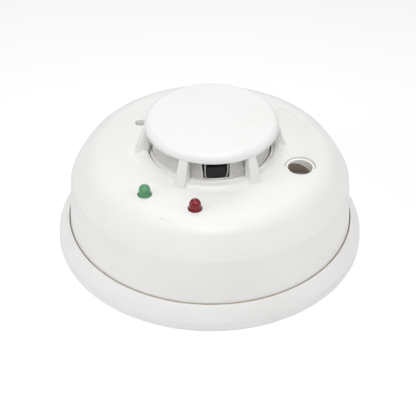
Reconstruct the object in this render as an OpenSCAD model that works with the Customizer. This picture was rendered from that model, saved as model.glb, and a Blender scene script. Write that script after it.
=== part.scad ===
// Ceiling detector with a vented chamber under a raised cap, on a twist-lock base.
// z = 0 is the mounting plane and +Z points away from the ceiling, into the room.

/* [Mounting base] */
// Diameter of the base across its rim
base_d = 142; // [141:1:144]
// Height of the base rim above the mounting plane
rim_h = 10.7; // [10:0.1:11.5]
// Height at which the rim's side turns into its sloping top
rim_break_h = 4.2; // [3.5:0.1:5]
// Thickness of the base plate
plate_t = 2.4; // [2:0.1:2.6]
// Diameter of the central wire opening
wire_d = 34; // [30:1:38]
// Spacing of the two slots along X
slot_x_spacing = 83.3; // [82:0.1:85]
// Spacing of the two slots along Y
slot_y_spacing = 88.9; // [87:0.1:90]
// Length of a mounting slot
slot_l = 10; // [8:0.5:11]
// Width of a mounting slot
slot_w = 4.6; // [4:0.1:5]

/* [Head housing] */
// Radius of the cover's side wall just above the base rim
skirt_r = 65.4; // [65.2:0.05:65.5]
// Radius of the cover at the crease round its side
crease_r = 63.4; // [63:0.1:64]
// Height of that crease
crease_h = 31.4; // [30:0.1:32]
// Height of the cover's flat top
top_h = 45.4; // [44.5:0.1:46]
// Radius of the flat top, where the rounded shoulder starts
flat_r = 49.3; // [48.8:0.1:50]
// Radius of the rounded shoulder
shoulder_r = 10; // [9:0.1:11]
// Wall thickness of the cover
cover_t = 2.3; // [2:0.1:2.6]

/* [Air vent] */
// Radius of the round opening in the cover
vent_r = 28.4; // [28:0.1:28.8]
// Height of the collar round the opening above the flat top
collar_h = 1.5; // [1:0.1:2]
// Radius of the cap
cap_r = 29.75; // [29:0.05:30.5]
// Height of the cap's underside above the mounting plane
cap_z = 57.2; // [56:0.1:58]
// Thickness of the cap
cap_t = 4.3; // [4:0.1:5]
// Radius of the cap's rounded upper edge
cap_edge_r = 2.8; // [2:0.1:3.2]
// Sideways play taken up by the cap on its pegs
cap_play = 0.3; // [0:0.05:0.3]
// Sideways play taken up by the chamber ring in the opening
ring_play = 0.2; // [0:0.05:0.2]
// Number of ribs that carry the cap
ribs = 6; // [4:1:8]
// Width of a rib at its foot
rib_w = 5.2; // [4.5:0.1:6]
// Width of a rib at its top
rib_top_w = 4; // [3.6:0.1:4.4]
// Radius of the insect screen
screen_r = 26.5; // [26.3:0.1:26.6]
// Width of the window in the screen
window_w = 12.4; // [11:0.1:12.6]

/* [Indicators and sounder] */
// Diameter of an indicator's dome
led_d = 5; // [4.8:0.1:5.2]
// Diameter of an indicator's flange
led_flange_d = 5.9; // [5.8:0.1:6]
// Distance of the indicators from the centre
led_r = 44.6; // [43:0.1:45]
// Diameter of the sounder port in the cover
port_d = 13.3; // [13:0.1:14]
// Inner diameter of the sounder horn
horn_d = 10.9; // [10:0.1:11.5]
// Distance of the sounder port from the centre
port_r = 41.8; // [41:0.1:42]
// Diameter of the test button's well
well_d = 5.1; // [4.8:0.1:5.4]
// Distance of the test button from the centre
well_r = 37.7; // [37:0.1:38.5]
// Travel of the test button
button_travel = 0.8; // [0.5:0.1:1]

/* [Twist lock] */
// Angle the head turns to unlock
unlock_a = 20; // [18:1:20]
// Number of twist-lock lugs
lugs = 3; // [3:1:3]

/* [Hidden] */
$fn = 96;
eps = 0.01;
gap = 0.1;

// Mounting base
base_r = base_d / 2;
rim_in_r = skirt_r + 0.5;
rim_top_w = 0.35;
rim_bow = 0.35;
wall_t = 2;
plate_r = rim_in_r + wall_t;
hook_in_r = 57.2;
hook_out_r = 62.5;
hook_wall_t = 1.6;
hook_top = 8.2;
hook_ledge_t = 1.5;
hook_a = [-10, 8];
hook_start = 90;
stop_a = 2;

// Head chassis and its lugs
chassis_z = 8.6;
chassis_t = 2;
chassis_r = 62.4;
chassis_top = chassis_z + chassis_t;
lug_a = [-9.4, 6];
lug_wall_r = [54.5, 56.5];
lug_tip_r = 60.4;
lug_z = [4.8, 6.4];
skirt_z = 3.2;
skirt_foot_r = skirt_r + 0.1;

// Circuit board
board_z = 22;
board_t = 1.6;
board_r = 56;
board_top = board_z + board_t;
post_pos_r = 51;
post_start = 60;
screw_r = 1.2;
cover_screw_pos_r = 59.6;
cover_screw_start = 20;
cover_boss_r = 3.2;
cover_boss_top = 20;

// Contacts of the twist lock
contacts = 4;
contact_start = 45;
contact_r = 46;
contact_w = 5.6;
strip_t = 0.6;
strip_z = plate_t + 1;
terminal_r = 36.5;
clip_top = 6.6;
blade_z = [4.5, 5.5];
blade_w = 4.8;

// Vent
rib_start = -113.4;
rib_step = 360 / ribs;
window_a = rib_start + rib_step / 2;
collar_z = top_h + collar_h;
collar_in_w = 2.6;
collar_out_r = 34.5;
rib_in_r = 26.9;
rib_foot_r = 34;
rib_top_r = 29.6;
rib_floor = collar_z + 0.2;
peg_pos_r = 28;
peg_r = 0.9;
peg_h = 1.8;
screen_t = 0.5;
window_z = collar_z + 0.1;
window_shift = -0.8;
ring_in_r = screen_r + 0.35;

// Optical chamber
floor_z = board_top;
floor_t = 16;
chamber_r = 25.2;
vane_z = floor_z + floor_t;
floor_r = 30.4;
screen_z = [vane_z, 56.4];
lid_z = 54;
lid_t = 2.2;
vanes = 24;
optic_z = 46;
emitter_a = 20;
photodiode_a = 155;
optic_r = 10;
block_w = 8.8;
lead_reach = 3.9;

// Places of the parts on the cover
green_a = rib_start - 15.2;
red_a = rib_start + 15.2;
port_a = -19.4;
well_a = 149.8;
led_dome_z = top_h + 2.4;
led_flange_z = top_h - 1.1;
led_flange_top = top_h + 0.1;
sleeve_z = top_h - 11;
button_flange_z = sleeve_z - 1.4;
button_top = top_h - 2.4;
nose_z = board_top + 3;
horn_wall = 0.95;
horn_z = 32;
horn_flange_t = 1.2;
horn_top = top_h - 0.4;
sounder_r = 14.2;
piezo_z = board_top + 5.6;

// Outline that marks where a test magnet is held
mark_a = [28, 44.5];
mark_r = [36, 47.1];
mark_corner = 2.4;
mark_line = 0.35;
mark_depth = 0.3;

plastic = [0.93, 0.93, 0.91];
black = [0.12, 0.11, 0.12];
brass = [0.8, 0.66, 0.36];
steel = [0.72, 0.73, 0.75];

// Points of a circular arc about c, from angle a0 to a1.
function arc(c, r, a0, a1, n = 10) =
    [for (i = [0:n]) c + r * [cos(a0 + (a1 - a0) * i / n), sin(a0 + (a1 - a0) * i / n)]];

// Points from p to q along a shallow bow that stands out by h at its middle.
function bow(p, q, h, n = 8) =
    let (d = q - p, out = [d[1], -d[0]] / norm(d))
    [for (i = [0:n]) let (t = i / n) p + d * t + out * (4 * h * t * (1 - t))];

// Cover outline, set in by t all round, from the skirt's foot up to the flat top.
function cover_outline(t) =
    let (tangent = 31)
    concat([[skirt_foot_r - t, skirt_z], [skirt_r - t, rim_h - 1]],
        bow([crease_r - t, crease_h],
            [flat_r, top_h - shoulder_r] + (shoulder_r - t) * [cos(tangent), sin(tangent)], 0.25),
        arc([flat_r, top_h - shoulder_r], shoulder_r - t, tangent + 3, 90));

// Moves children to radius r at angle a, turned to face outwards.
module at(r, a, z = 0) {
    rotate([0, 0, a]) translate([r, 0, z]) children();
}

// Round tube from z up by h.
module tube(r_out, r_in, z, h) {
    translate([0, 0, z]) difference() {
        cylinder(r = r_out, h = h);
        translate([0, 0, -1]) cylinder(r = r_in, h = h + 2);
    }
}

// Part of a ring between two angles and two radii.
module sector(r, a, z) {
    rotate([0, 0, a[0]]) rotate_extrude(angle = a[1] - a[0])
        translate([r[0], z[0]]) square([r[1] - r[0], z[1] - z[0]]);
}

// Block centred on X and Y, standing on its own origin.
module block(size) {
    translate([-size[0] / 2, -size[1] / 2, 0]) cube(size);
}

// Slot through the plate, running along X.
module slot(l, w) {
    translate([0, 0, -1]) linear_extrude(plate_t + 2) {
        square([l - w, w], center = true);
        for (s = [-1, 1]) translate([s * (l - w) / 2, 0]) circle(d = w);
    }
}

// Pan-head screw whose head sits on z = 0, with its shank below.
module pan_screw(r, head_r, head_h, l) {
    difference() {
        cylinder(r = head_r, h = head_h);
        translate([0, 0, head_h - 0.8]) {
            block([head_r * 1.4, 0.7, 2]);
            block([0.7, head_r * 1.4, 2]);
        }
    }
    translate([0, 0, -l]) cylinder(r = r, h = l + eps);
}

module mounting_base() {
    color(plastic) {
        difference() {
            rotate_extrude() polygon(concat(
                [[wire_d / 2, 0], [base_r, 0]],
                bow([base_r - 0.25, rim_break_h], [rim_in_r + rim_top_w, rim_h], rim_bow),
                [[rim_in_r, rim_h], [rim_in_r, plate_t], [wire_d / 2, plate_t]]));
            rotate_extrude() polygon([[plate_r, -1], [base_r - wall_t, -1],
                [base_r - wall_t, rim_break_h - 1], [plate_r, rim_break_h + 1]]);
            for (s = [0, 180]) {
                at(slot_x_spacing / 2, s) slot(slot_l, slot_w);
                at(slot_y_spacing / 2, s + 90) slot(slot_l, slot_w);
            }
            for (i = [0:contacts - 1])
                at(terminal_r, contact_start + i * 360 / contacts, 0.8) cylinder(r = 1.5, h = 5);
        }
        // Raised edge round the wire opening.
        tube(wire_d / 2 + 1.6, wire_d / 2, plate_t - eps, 1.6);
        for (i = [0:contacts - 1]) rotate([0, 0, contact_start + i * 360 / contacts])
            difference() {
                translate([41, 0, plate_t - eps]) block([18, 9.4, strip_z - plate_t + eps]);
                translate([terminal_r, 0, plate_t - 1]) cylinder(r = 1.5, h = 5);
            }
        for (i = [0:lugs - 1]) rotate([0, 0, hook_start + i * 360 / lugs]) {
            sector([hook_out_r - hook_wall_t, hook_out_r], hook_a, [plate_t - eps, hook_top]);
            sector([hook_in_r, hook_out_r], hook_a, [hook_top - hook_ledge_t, hook_top]);
            sector([hook_in_r, hook_out_r], [hook_a[0] - stop_a, hook_a[0]],
                [plate_t - eps, hook_top]);
            sector([hook_in_r, lug_tip_r], [lug_a[1] + unlock_a + 0.6, lug_a[1] + unlock_a + 3],
                [plate_t - eps, lug_z[1]]);
        }
    }
}

// A brass strip from each terminal, folded over at its outer end into a clip.
module base_contacts() {
    y0 = -4.5;
    color(brass) for (i = [0:contacts - 1]) rotate([0, 0, contact_start + i * 360 / contacts]) {
        difference() {
            translate([32.6, y0, strip_z]) cube([contact_r + contact_w / 2 - 32.6, 8.4, strip_t]);
            translate([terminal_r, 0, strip_z - 1]) cylinder(r = 1.6, h = 3);
        }
        translate([contact_r - contact_w / 2, y0, strip_z]) {
            cube([contact_w, strip_t, clip_top - strip_z]);
            translate([0, 0, clip_top - strip_z - strip_t]) cube([contact_w, 7, strip_t]);
        }
    }
}

module terminal_clamps() {
    color(steel) for (i = [0:contacts - 1])
        at(terminal_r, contact_start + i * 360 / contacts, strip_z + strip_t) difference() {
            block([7.2, 7.2, 0.8]);
            translate([0, 0, -1]) cylinder(r = 1.6, h = 3);
        }
}

module terminal_screws() {
    color(steel) for (i = [0:contacts - 1])
        at(terminal_r, contact_start + i * 360 / contacts, strip_z + strip_t + 0.8)
            pan_screw(1.45, 2.8, 1.8, 3.8);
}

module rear_chassis() {
    color(plastic) difference() {
        union() {
            translate([0, 0, chassis_z]) cylinder(r = chassis_r, h = chassis_t);
            tube(20, 18.5, chassis_top - eps, 2.4);
            for (i = [0:2]) at(post_pos_r, post_start + i * 120, chassis_top - eps)
                cylinder(r = 3.4, h = board_z - chassis_top + eps);
            for (i = [0:lugs - 1]) rotate([0, 0, hook_start + i * 360 / lugs]) {
                sector(lug_wall_r, lug_a, [lug_z[0], chassis_z + eps]);
                sector([lug_wall_r[0], lug_tip_r], lug_a, lug_z);
            }
        }
        for (i = [0:2]) {
            at(post_pos_r, post_start + i * 120, board_z - 9) cylinder(r = screw_r + 0.05, h = 12);
            at(cover_screw_pos_r, cover_screw_start + i * 120, chassis_z - eps) {
                cylinder(r1 = 2.7, r2 = 1.5, h = 1.6);
                cylinder(r = 1.5, h = 4);
            }
        }
        for (i = [0:contacts - 1]) rotate([0, 0, contact_start + i * 360 / contacts])
            translate([contact_r, 3.6, chassis_z - 1]) block([blade_w + 0.2, 1, 4]);
    }
}

// L-shaped blades: the foot slides into the base clip and the stem reaches the board.
module head_contacts() {
    color(brass) for (i = [0:contacts - 1]) rotate([0, 0, contact_start + i * 360 / contacts]) {
        translate([contact_r - blade_w / 2, -3.2, blade_z[0]])
            cube([blade_w, 7.2, blade_z[1] - blade_z[0]]);
        translate([contact_r, 3.6, blade_z[0]]) block([blade_w, 0.8, chassis_top + 1 - blade_z[0]]);
        translate([contact_r, 3.6, chassis_top]) block([1.2, 0.8, board_z - chassis_top - gap]);
    }
}

module circuit_board() {
    color([0.1, 0.35, 0.2]) difference() {
        translate([0, 0, board_z]) cylinder(r = board_r, h = board_t);
        for (i = [0:2]) at(post_pos_r, post_start + i * 120, board_z - 1) cylinder(r = 1.6, h = 4);
        for (i = [0:2]) at(board_r + 1, cover_screw_start + i * 120, board_z - 1)
            cylinder(r = 4, h = 4);
    }
}

module board_screws() {
    color(steel) for (i = [0:2])
        at(post_pos_r, post_start + i * 120, board_top) pan_screw(screw_r, 2.7, 1.9, 9);
}

// Countersunk screws from behind, flush with the chassis.
module cover_screws() {
    color(steel) for (i = [0:2]) at(cover_screw_pos_r, cover_screw_start + i * 120, chassis_z) {
        difference() {
            cylinder(r1 = 2.6, r2 = 1.35, h = 1.5);
            translate([0, 0, -eps]) {
                block([3, 0.7, 0.7]);
                block([0.7, 3, 0.7]);
            }
        }
        cylinder(r = 1.35, h = 9);
    }
}

// Solid of revolution of the cover, with its wall, collar and open vent.
module cover_shell() {
    fillet_r = ((collar_out_r - vent_r - collar_in_w) ^ 2 + collar_h ^ 2) / (2 * collar_h);
    fillet_a = asin((collar_out_r - vent_r - collar_in_w) / fillet_r);
    edge = 0.35;
    rotate_extrude() difference() {
        union() {
            polygon(concat([[0, skirt_z]], cover_outline(0), [[0, top_h]]));
            polygon(concat([[vent_r - 1, top_h - 1], [collar_out_r, top_h - 1]],
                arc([collar_out_r, top_h + fillet_r], fillet_r, -90, -90 - fillet_a),
                [[vent_r + edge, collar_z], [vent_r - 1, collar_z]]));
        }
        polygon(concat([[0, skirt_z - 1], [skirt_foot_r - cover_t, skirt_z - 1]],
            cover_outline(cover_t), [[0, top_h - cover_t]]));
        translate([0, top_h - 8]) square([vent_r, 20]);
        polygon([[vent_r - 1, collar_z - edge - 1], [vent_r + edge + 1, collar_z + 1],
            [vent_r - 1, collar_z + 1]]);
    }
}

// Rib with a sloping outer face, narrower at its top, and the peg that holds the cap.
module rib() {
    intersection() {
        rotate([90, 0, 0]) translate([0, 0, -rib_w]) linear_extrude(2 * rib_w) polygon([
            [rib_in_r, rib_floor], [vent_r + 0.4, rib_floor], [vent_r + 0.4, top_h - 1],
            [rib_foot_r + 0.3, top_h - 1], [rib_foot_r, top_h], [rib_top_r, cap_z],
            [rib_in_r, cap_z]]);
        rotate([90, 0, 90]) linear_extrude(60) polygon([
            [-rib_w / 2, top_h - 2], [rib_w / 2, top_h - 2], [rib_w / 2, top_h],
            [rib_top_w / 2, cap_z], [-rib_top_w / 2, cap_z], [-rib_w / 2, top_h]]);
    }
    translate([peg_pos_r, 0, cap_z - 1]) cylinder(r = peg_r, h = peg_h + 1);
}

// Ring sector with rounded corners, grown by d, as one closed loop of points.
function mark_loop(d) =
    let (c = mark_corner, in_c = mark_r[0] + c, out_c = mark_r[1] - c,
        in_a = asin(c / in_c), out_a = asin(c / out_c), a0 = mark_a[0], a1 = mark_a[1])
    concat(
        arc(out_c * [cos(a0 + out_a), sin(a0 + out_a)], c + d, a0 - 90, a0 + out_a, 5),
        arc([0, 0], mark_r[1] + d, a0 + out_a + 1, a1 - out_a - 1, 6),
        arc(out_c * [cos(a1 - out_a), sin(a1 - out_a)], c + d, a1 - out_a, a1 + 90, 5),
        arc(in_c * [cos(a1 - in_a), sin(a1 - in_a)], c + d, a1 + 90, a1 - in_a + 180, 5),
        arc([0, 0], mark_r[0] - d, a1 - in_a - 1, a0 + in_a + 1, 5),
        arc(in_c * [cos(a0 + in_a), sin(a0 + in_a)], c + d, a0 + in_a + 180, a0 + 270, 5));

// Fine engraved line along that loop.
module magnet_mark() {
    translate([0, 0, top_h - mark_depth]) linear_extrude(1) difference() {
        polygon(mark_loop(mark_line / 2));
        polygon(mark_loop(-mark_line / 2));
    }
}

module housing_cover() {
    color(plastic) {
        difference() {
            union() {
                cover_shell();
                // Sleeve that guides the test button.
                at(well_r, well_a, sleeve_z) cylinder(r = well_d / 2 + 1.3, h = 10);
                // Bosses for the cover screws, joined to the side wall.
                for (i = [0:2]) rotate([0, 0, cover_screw_start + i * 120])
                    translate([cover_screw_pos_r, 0, chassis_top]) {
                        cylinder(r = cover_boss_r, h = cover_boss_top - chassis_top);
                        translate([0, -1.2, 0])
                            cube([skirt_r - cover_t - cover_screw_pos_r,
                                2.4, cover_boss_top - chassis_top]);
                    }
            }
            for (a = [green_a, red_a]) at(led_r, a, top_h - 5)
                cylinder(d = led_flange_d + 0.25, h = 10);
            at(port_r, port_a, top_h - 5) cylinder(d = port_d, h = 10);
            at(well_r, well_a, sleeve_z - 1) cylinder(d = well_d, h = 14);
            for (i = [0:2]) at(cover_screw_pos_r, cover_screw_start + i * 120, chassis_top - 1)
                cylinder(r = 1.4, h = 9);
            magnet_mark();
        }
        for (i = [0:ribs - 1]) rotate([0, 0, rib_start + i * rib_step]) rib();
    }
}

module top_cap() {
    foot = 0.4;
    color(plastic) translate([cap_play, 0, cap_z]) difference() {
        rotate_extrude() union() {
            square([cap_r - cap_edge_r, cap_t]);
            translate([0, foot]) square([cap_r, cap_t - cap_edge_r - foot]);
            square([cap_r - foot, cap_t - cap_edge_r]);
            intersection() {
                translate([cap_r - cap_edge_r, cap_t - cap_edge_r]) circle(r = cap_edge_r);
                square([cap_r, cap_t]);
            }
            intersection() {
                translate([cap_r - foot, foot]) circle(r = foot);
                square([cap_r, cap_t]);
            }
        }
        translate([0, 0, -eps]) cylinder(r = 24.5, h = 1.9);
        for (i = [0:ribs - 1]) rotate([0, 0, rib_start + i * rib_step])
            translate([peg_pos_r, 0, -eps]) cylinder(r = peg_r + 0.35, h = peg_h + 0.2);
    }
}

// Stepped ring that trims the gap between the cover and the screen.
module chamber_ring() {
    out_r = vent_r - 0.45;
    lip_r = ring_in_r + 0.5;
    color(plastic) translate([ring_play, 0, 0]) rotate_extrude() polygon([
        [ring_in_r, screen_z[0]], [out_r + 2.4, screen_z[0]], [out_r + 2.4, top_h - cover_t - gap],
        [out_r, top_h - cover_t - gap], [out_r, collar_z - 0.5], [lip_r, collar_z - 0.5],
        [lip_r, collar_z - 0.1], [ring_in_r, collar_z - 0.1]]);
}

// Thin screen drum with a window in front of the heat sensor.
module insect_screen() {
    color([0.75, 0.75, 0.73]) difference() {
        tube(screen_r, screen_r - screen_t, screen_z[0], screen_z[1] - screen_z[0]);
        rotate([0, 0, window_a]) translate([25, window_shift, window_z]) block([10, window_w, 20]);
    }
}

// Black labyrinth: bent vanes that let air in and keep light out, and the sensor block.
module optical_chamber() {
    color(black) {
        tube(chamber_r, 19, vane_z, 0.8);
        for (i = [0:vanes - 1]) rotate([0, 0, window_a + (i + 0.5) * 360 / vanes])
            translate([0, 0, vane_z + 0.4]) linear_extrude(lid_z - vane_z - 0.4)
                polygon([[19.4, -0.2], [20.2, -0.7], [23.2, 1.7], [24.8, 0.6], [25, 1.6],
                    [23.2, 2.8]]);
        rotate([0, 0, window_a]) difference() {
            translate([24.6, window_shift, window_z]) block([3.2, block_w, lid_z - window_z - 0.3]);
            for (s = [-1, 1]) translate([25, window_shift + s * lead_reach, window_z + 0.6])
                rotate([0, 90, 0]) cylinder(r = 0.35, h = 5);
        }
    }
}

// Floor of the chamber on its pedestal, with cradles for the two optical parts.
module chamber_floor() {
    color(black) {
        translate([0, 0, vane_z - 2]) cylinder(r = floor_r, h = 2);
        tube(20, 18.2, floor_z, floor_t - 2 + eps);
        for (a = [emitter_a, photodiode_a]) rotate([0, 0, a]) difference() {
            translate([optic_r + 4, 0, vane_z - eps]) block([8, 7.6, optic_z - vane_z + 2]);
            translate([0, 0, optic_z]) rotate([0, 90, 0]) cylinder(r = 2.6, h = 30);
            translate([0, -2.6, optic_z]) cube([30, 5.2, 5]);
        }
    }
}

module chamber_lid() {
    color(black) {
        translate([0, 0, lid_z]) cylinder(r = chamber_r, h = lid_t);
        tube(chamber_r - 1, chamber_r - 2.2, lid_z + lid_t - eps, 0.5);
    }
}

// Round diode lying on its side, its dome towards the centre of the chamber.
module lying_diode(a, r) {
    rotate([0, 0, a]) translate([optic_r + 7, 0, optic_z]) rotate([0, -90, 0]) {
        cylinder(r = r, h = 5.4);
        translate([0, 0, 5.4]) sphere(r = r);
    }
}

module emitter_diode() {
    color([0.5, 0.55, 0.65]) lying_diode(emitter_a, 2.5);
}

module photodiode() {
    color([0.15, 0.15, 0.2]) lying_diode(photodiode_a, 2.2);
}

// Folded tin-plate shield over the photodiode's cradle.
module photodiode_shield() {
    t = 0.3;
    color(steel) rotate([0, 0, photodiode_a]) translate([optic_r + 4, 0, vane_z]) difference() {
        block([8, 8.6, optic_z - vane_z + 3.2]);
        translate([0, 0, -1]) block([9, 8.6 - 2 * t, optic_z - vane_z + 3.2 - t + 1]);
    }
}

module thermistor_bead() {
    color([0.2, 0.18, 0.16]) rotate([0, 0, window_a])
        translate([screen_r - 0.1, window_shift, cap_z - 1.4]) sphere(r = 1.15, $fn = 48);
}

// Two wires that rise from the sensor block and meet at the bead.
module thermistor_leads() {
    wire_r = 0.25;
    end_r = 0.2;
    x = screen_r + 0.3;
    foot_z = window_z + 0.6;
    bend_z = cap_z - 2.2;
    color(steel) rotate([0, 0, window_a]) translate([0, window_shift, 0]) for (s = [-1, 1]) {
        translate([x - 1.6, s * lead_reach, foot_z]) rotate([0, 90, 0])
            cylinder(r = end_r, h = 1.6);
        translate([x, s * lead_reach, foot_z - wire_r])
            cylinder(r = wire_r, h = bend_z - foot_z + 0.6);
        translate([x, s * lead_reach, bend_z + 0.2]) rotate([s * 85, 0, 0])
            cylinder(r = end_r, h = lead_reach - 1);
    }
}

// Round indicator with a flange level with the cover and a dome above it.
module led(a) {
    at(led_r, a) difference() {
        union() {
            translate([0, 0, led_flange_z])
                cylinder(d = led_flange_d, h = led_flange_top - led_flange_z);
            translate([0, 0, led_flange_z]) cylinder(d = led_d, h = led_dome_z - led_flange_z);
            translate([0, 0, led_dome_z]) sphere(d = led_d);
        }
        translate([-5, led_d / 2, led_flange_z - 1]) cube([10, 5, 1.9]);
    }
}

module power_led() {
    color([0.1, 0.5, 0.25]) led(green_a);
}

module alarm_led() {
    color([0.55, 0.08, 0.1]) led(red_a);
}

module led_spacers() {
    color([0.85, 0.85, 0.83]) for (a = [green_a, red_a])
        at(led_r, a) tube(2.7, 1.8, board_top, led_flange_z - board_top - gap);
}

module led_leads() {
    color(steel) for (a = [green_a, red_a]) at(led_r, a, board_top)
        for (s = [-1, 1]) translate([s * 1.27, 0, 0])
            block([0.5, 0.5, led_flange_z - board_top]);
}

// Horn that carries the sound from the sounder to the port in the cover.
module sounder_horn() {
    color(plastic) at(port_r, port_a) {
        tube(horn_d / 2 + horn_wall, horn_d / 2, horn_z, horn_top - horn_z);
        tube(sounder_r, horn_d / 2, horn_z, horn_flange_t);
    }
}

module sounder_case() {
    color(black) at(port_r, port_a) {
        tube(sounder_r, sounder_r - 1.2, board_top, horn_z - board_top);
        translate([0, 0, board_top]) cylinder(r = sounder_r - 0.8, h = 1.2);
        tube(sounder_r - 1, sounder_r - 2.8, board_top + 1, piezo_z - board_top - 1);
    }
}

module piezo_disc() {
    color(brass) at(port_r, port_a, piezo_z) {
        cylinder(r = 12.4, h = 0.3);
        translate([0, 0, 0.3 - eps]) cylinder(r = 8.5, h = 0.25);
    }
}

// Recessed button: a tool pushes its end down the well and its nose works the switch.
module test_button() {
    color(plastic) at(well_r, well_a) {
        translate([0, 0, button_flange_z]) cylinder(d = well_d - 0.5, h = button_top - button_flange_z);
        translate([0, 0, button_flange_z]) cylinder(r = 3.3, h = 1.2);
        translate([0, 0, nose_z]) cylinder(r = 1.4, h = button_flange_z - nose_z + eps);
    }
}

module test_switch() {
    color(black) at(well_r, well_a, board_top) difference() {
        block([6.2, 6.2, 3.5]);
        translate([0, 0, nose_z - board_top - button_travel - 0.6]) cylinder(r = 1.7, h = 4);
    }
}

module alarm_relay() {
    color([0.85, 0.6, 0.2]) at(30, 95) {
        translate([0, 0, board_z - 10.6]) block([15.5, 19, 10]);
        for (y = [-7, 7], x = [-5, 5]) translate([x, y, board_z - 0.7])
            cylinder(r = 0.5, h = 0.7 - eps);
    }
}

module reed_switch() {
    color([0.6, 0.75, 0.7]) at(43, 36, 38) rotate([90, 0, 0])
        translate([0, 0, -7]) cylinder(r = 1.3, h = 14);
}

module reed_leads() {
    color(steel) at(43, 36) for (s = [-1, 1]) {
        translate([0, s * 8.5, board_top]) cylinder(r = 0.3, h = 38.3 - board_top);
        translate([0, s * 7, 38]) rotate([-s * 90, 0, 0]) cylinder(r = 0.3, h = 1.5);
    }
}

module capacitors() {
    color([0.15, 0.2, 0.35]) for (a = [100, 114, 128])
        at(46, a, board_top + gap) cylinder(r = 4.2, h = 12);
}

module control_chip() {
    color(black) at(40, 75, board_top) {
        translate([0, 0, 0.5]) block([6.4, 19, 3.2]);
        for (i = [0:6], s = [-1, 1]) translate([s * 3.4, (i - 3) * 2.54, 0]) block([0.6, 0.6, 2]);
    }
}

module signal_chips() {
    color(black) for (a = [-160, -178]) at(40, a, board_top) {
        translate([0, 0, 0.2]) block([4, 8.7, 1.5]);
        for (i = [0:6], s = [-1, 1]) translate([s * 2.5, (i - 3) * 1.27, 0])
            block([1.2, 0.45, 0.4]);
    }
}

module resistors() {
    color([0.75, 0.62, 0.45]) for (a = [-72, -64, -56, -48]) at(36, a, board_top + 1.3)
        rotate([0, 90, 0]) translate([0, 0, -3]) cylinder(r = 1.2, h = 6.3);
}

mounting_base();
base_contacts();
terminal_clamps();
terminal_screws();
rear_chassis();
head_contacts();
circuit_board();
board_screws();
cover_screws();
housing_cover();
top_cap();
chamber_ring();
insect_screen();
optical_chamber();
chamber_floor();
chamber_lid();
emitter_diode();
photodiode();
photodiode_shield();
thermistor_bead();
thermistor_leads();
power_led();
alarm_led();
led_spacers();
led_leads();
sounder_horn();
sounder_case();
piezo_disc();
test_button();
test_switch();
alarm_relay();
reed_switch();
reed_leads();
capacitors();
control_chip();
signal_chips();
resistors();
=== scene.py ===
# %% [markdown]
# # A ceiling detector, piece by piece
#
# This lesson dresses a ceiling detector: a flared base, a round head with an air vent under a
# raised cap, two indicator lights, a sounder port and a small test button. The solids come from a
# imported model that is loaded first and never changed. Each outer piece is then made again as a
# fine mesh in the same place, because a solid cut into a few flat facets shows its corners as soon
# as light glances along it. The inner pieces keep their solids and only get a finish.

import bmesh
import bpy
import numpy as np
from mathutils import Matrix, Vector


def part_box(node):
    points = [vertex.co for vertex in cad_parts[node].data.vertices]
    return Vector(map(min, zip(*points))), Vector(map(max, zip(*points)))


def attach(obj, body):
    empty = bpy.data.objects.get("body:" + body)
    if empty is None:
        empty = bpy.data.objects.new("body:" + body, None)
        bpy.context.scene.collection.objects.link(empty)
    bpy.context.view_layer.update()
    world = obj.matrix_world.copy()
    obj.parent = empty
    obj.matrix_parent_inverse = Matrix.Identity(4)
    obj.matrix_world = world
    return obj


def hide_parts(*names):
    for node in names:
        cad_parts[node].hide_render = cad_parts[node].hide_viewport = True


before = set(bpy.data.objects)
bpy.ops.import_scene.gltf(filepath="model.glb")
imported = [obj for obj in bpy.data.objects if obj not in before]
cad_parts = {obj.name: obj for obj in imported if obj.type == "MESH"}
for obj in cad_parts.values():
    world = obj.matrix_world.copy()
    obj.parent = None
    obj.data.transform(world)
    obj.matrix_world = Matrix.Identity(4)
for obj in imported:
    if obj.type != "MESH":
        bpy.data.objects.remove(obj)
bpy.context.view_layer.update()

MM = 0.001

# %% [markdown]
# ## The camera
#
# A product shot of a small object is taken with a long lens from about half a metre, so that the
# round outline stays an ellipse with little perspective. A camera can be aimed with a constraint,
# but a matrix built from its own axes is exact and needs nothing else in the scene. The small
# sideways shift puts the object where the frame wants it without turning the view.

# %% Place the camera
CAMERA_REACH = 473.4
CAMERA_RISE = 37.323
CAMERA_FOCUS_Z = 25
CAMERA_TILT = 38.702
CAMERA_PAN = 1.684
CAMERA_ROLL = 1.61
CAMERA_LENS = 88.5
CAMERA_SHIFT = -0.0621


def add_camera():
    """The camera sits at the reach and rise given, looks down by the tilt, and rolls about its view."""
    rise, tilt, pan, roll = np.radians([CAMERA_RISE, CAMERA_TILT, CAMERA_PAN, CAMERA_ROLL])
    place = Vector((0, -CAMERA_REACH * np.cos(rise), CAMERA_REACH * np.sin(rise) + CAMERA_FOCUS_Z))
    ahead = Vector((np.sin(pan) * np.cos(tilt), np.cos(pan) * np.cos(tilt), -np.sin(tilt)))
    right = ahead.cross(Vector((0, 0, 1))).normalized()
    up = right.cross(ahead)
    side = right * np.cos(roll) + up * np.sin(roll)
    top = up * np.cos(roll) - right * np.sin(roll)
    data = bpy.data.cameras.new("camera")
    data.lens, data.sensor_width, data.shift_x = CAMERA_LENS, 36, CAMERA_SHIFT
    camera = bpy.data.objects.new("camera", data)
    bpy.context.scene.collection.objects.link(camera)
    turn = Matrix((side, top, -ahead)).transposed().to_4x4()
    camera.matrix_world = Matrix.Translation(place * MM) @ turn
    bpy.context.scene.camera = camera
    return camera


camera = add_camera()
print("camera", round(camera.location.length, 3), "m from the mounting plane's centre")

# %% [markdown]
# ## Closed shells from grids of points
#
# Nearly every part of a moulded housing is round, so one helper does most of the work: it carries
# an outline round the vertical axis. Blender's Screw modifier can do the same, but a grid of
# points worked out in one step with numpy is easy to measure and to bend further. A grid is closed
# into a shell either as a loop, like a tyre, or by drawing each end row together, like a ball.

# %% Grids, outlines and shells
TURNS = 288


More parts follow.
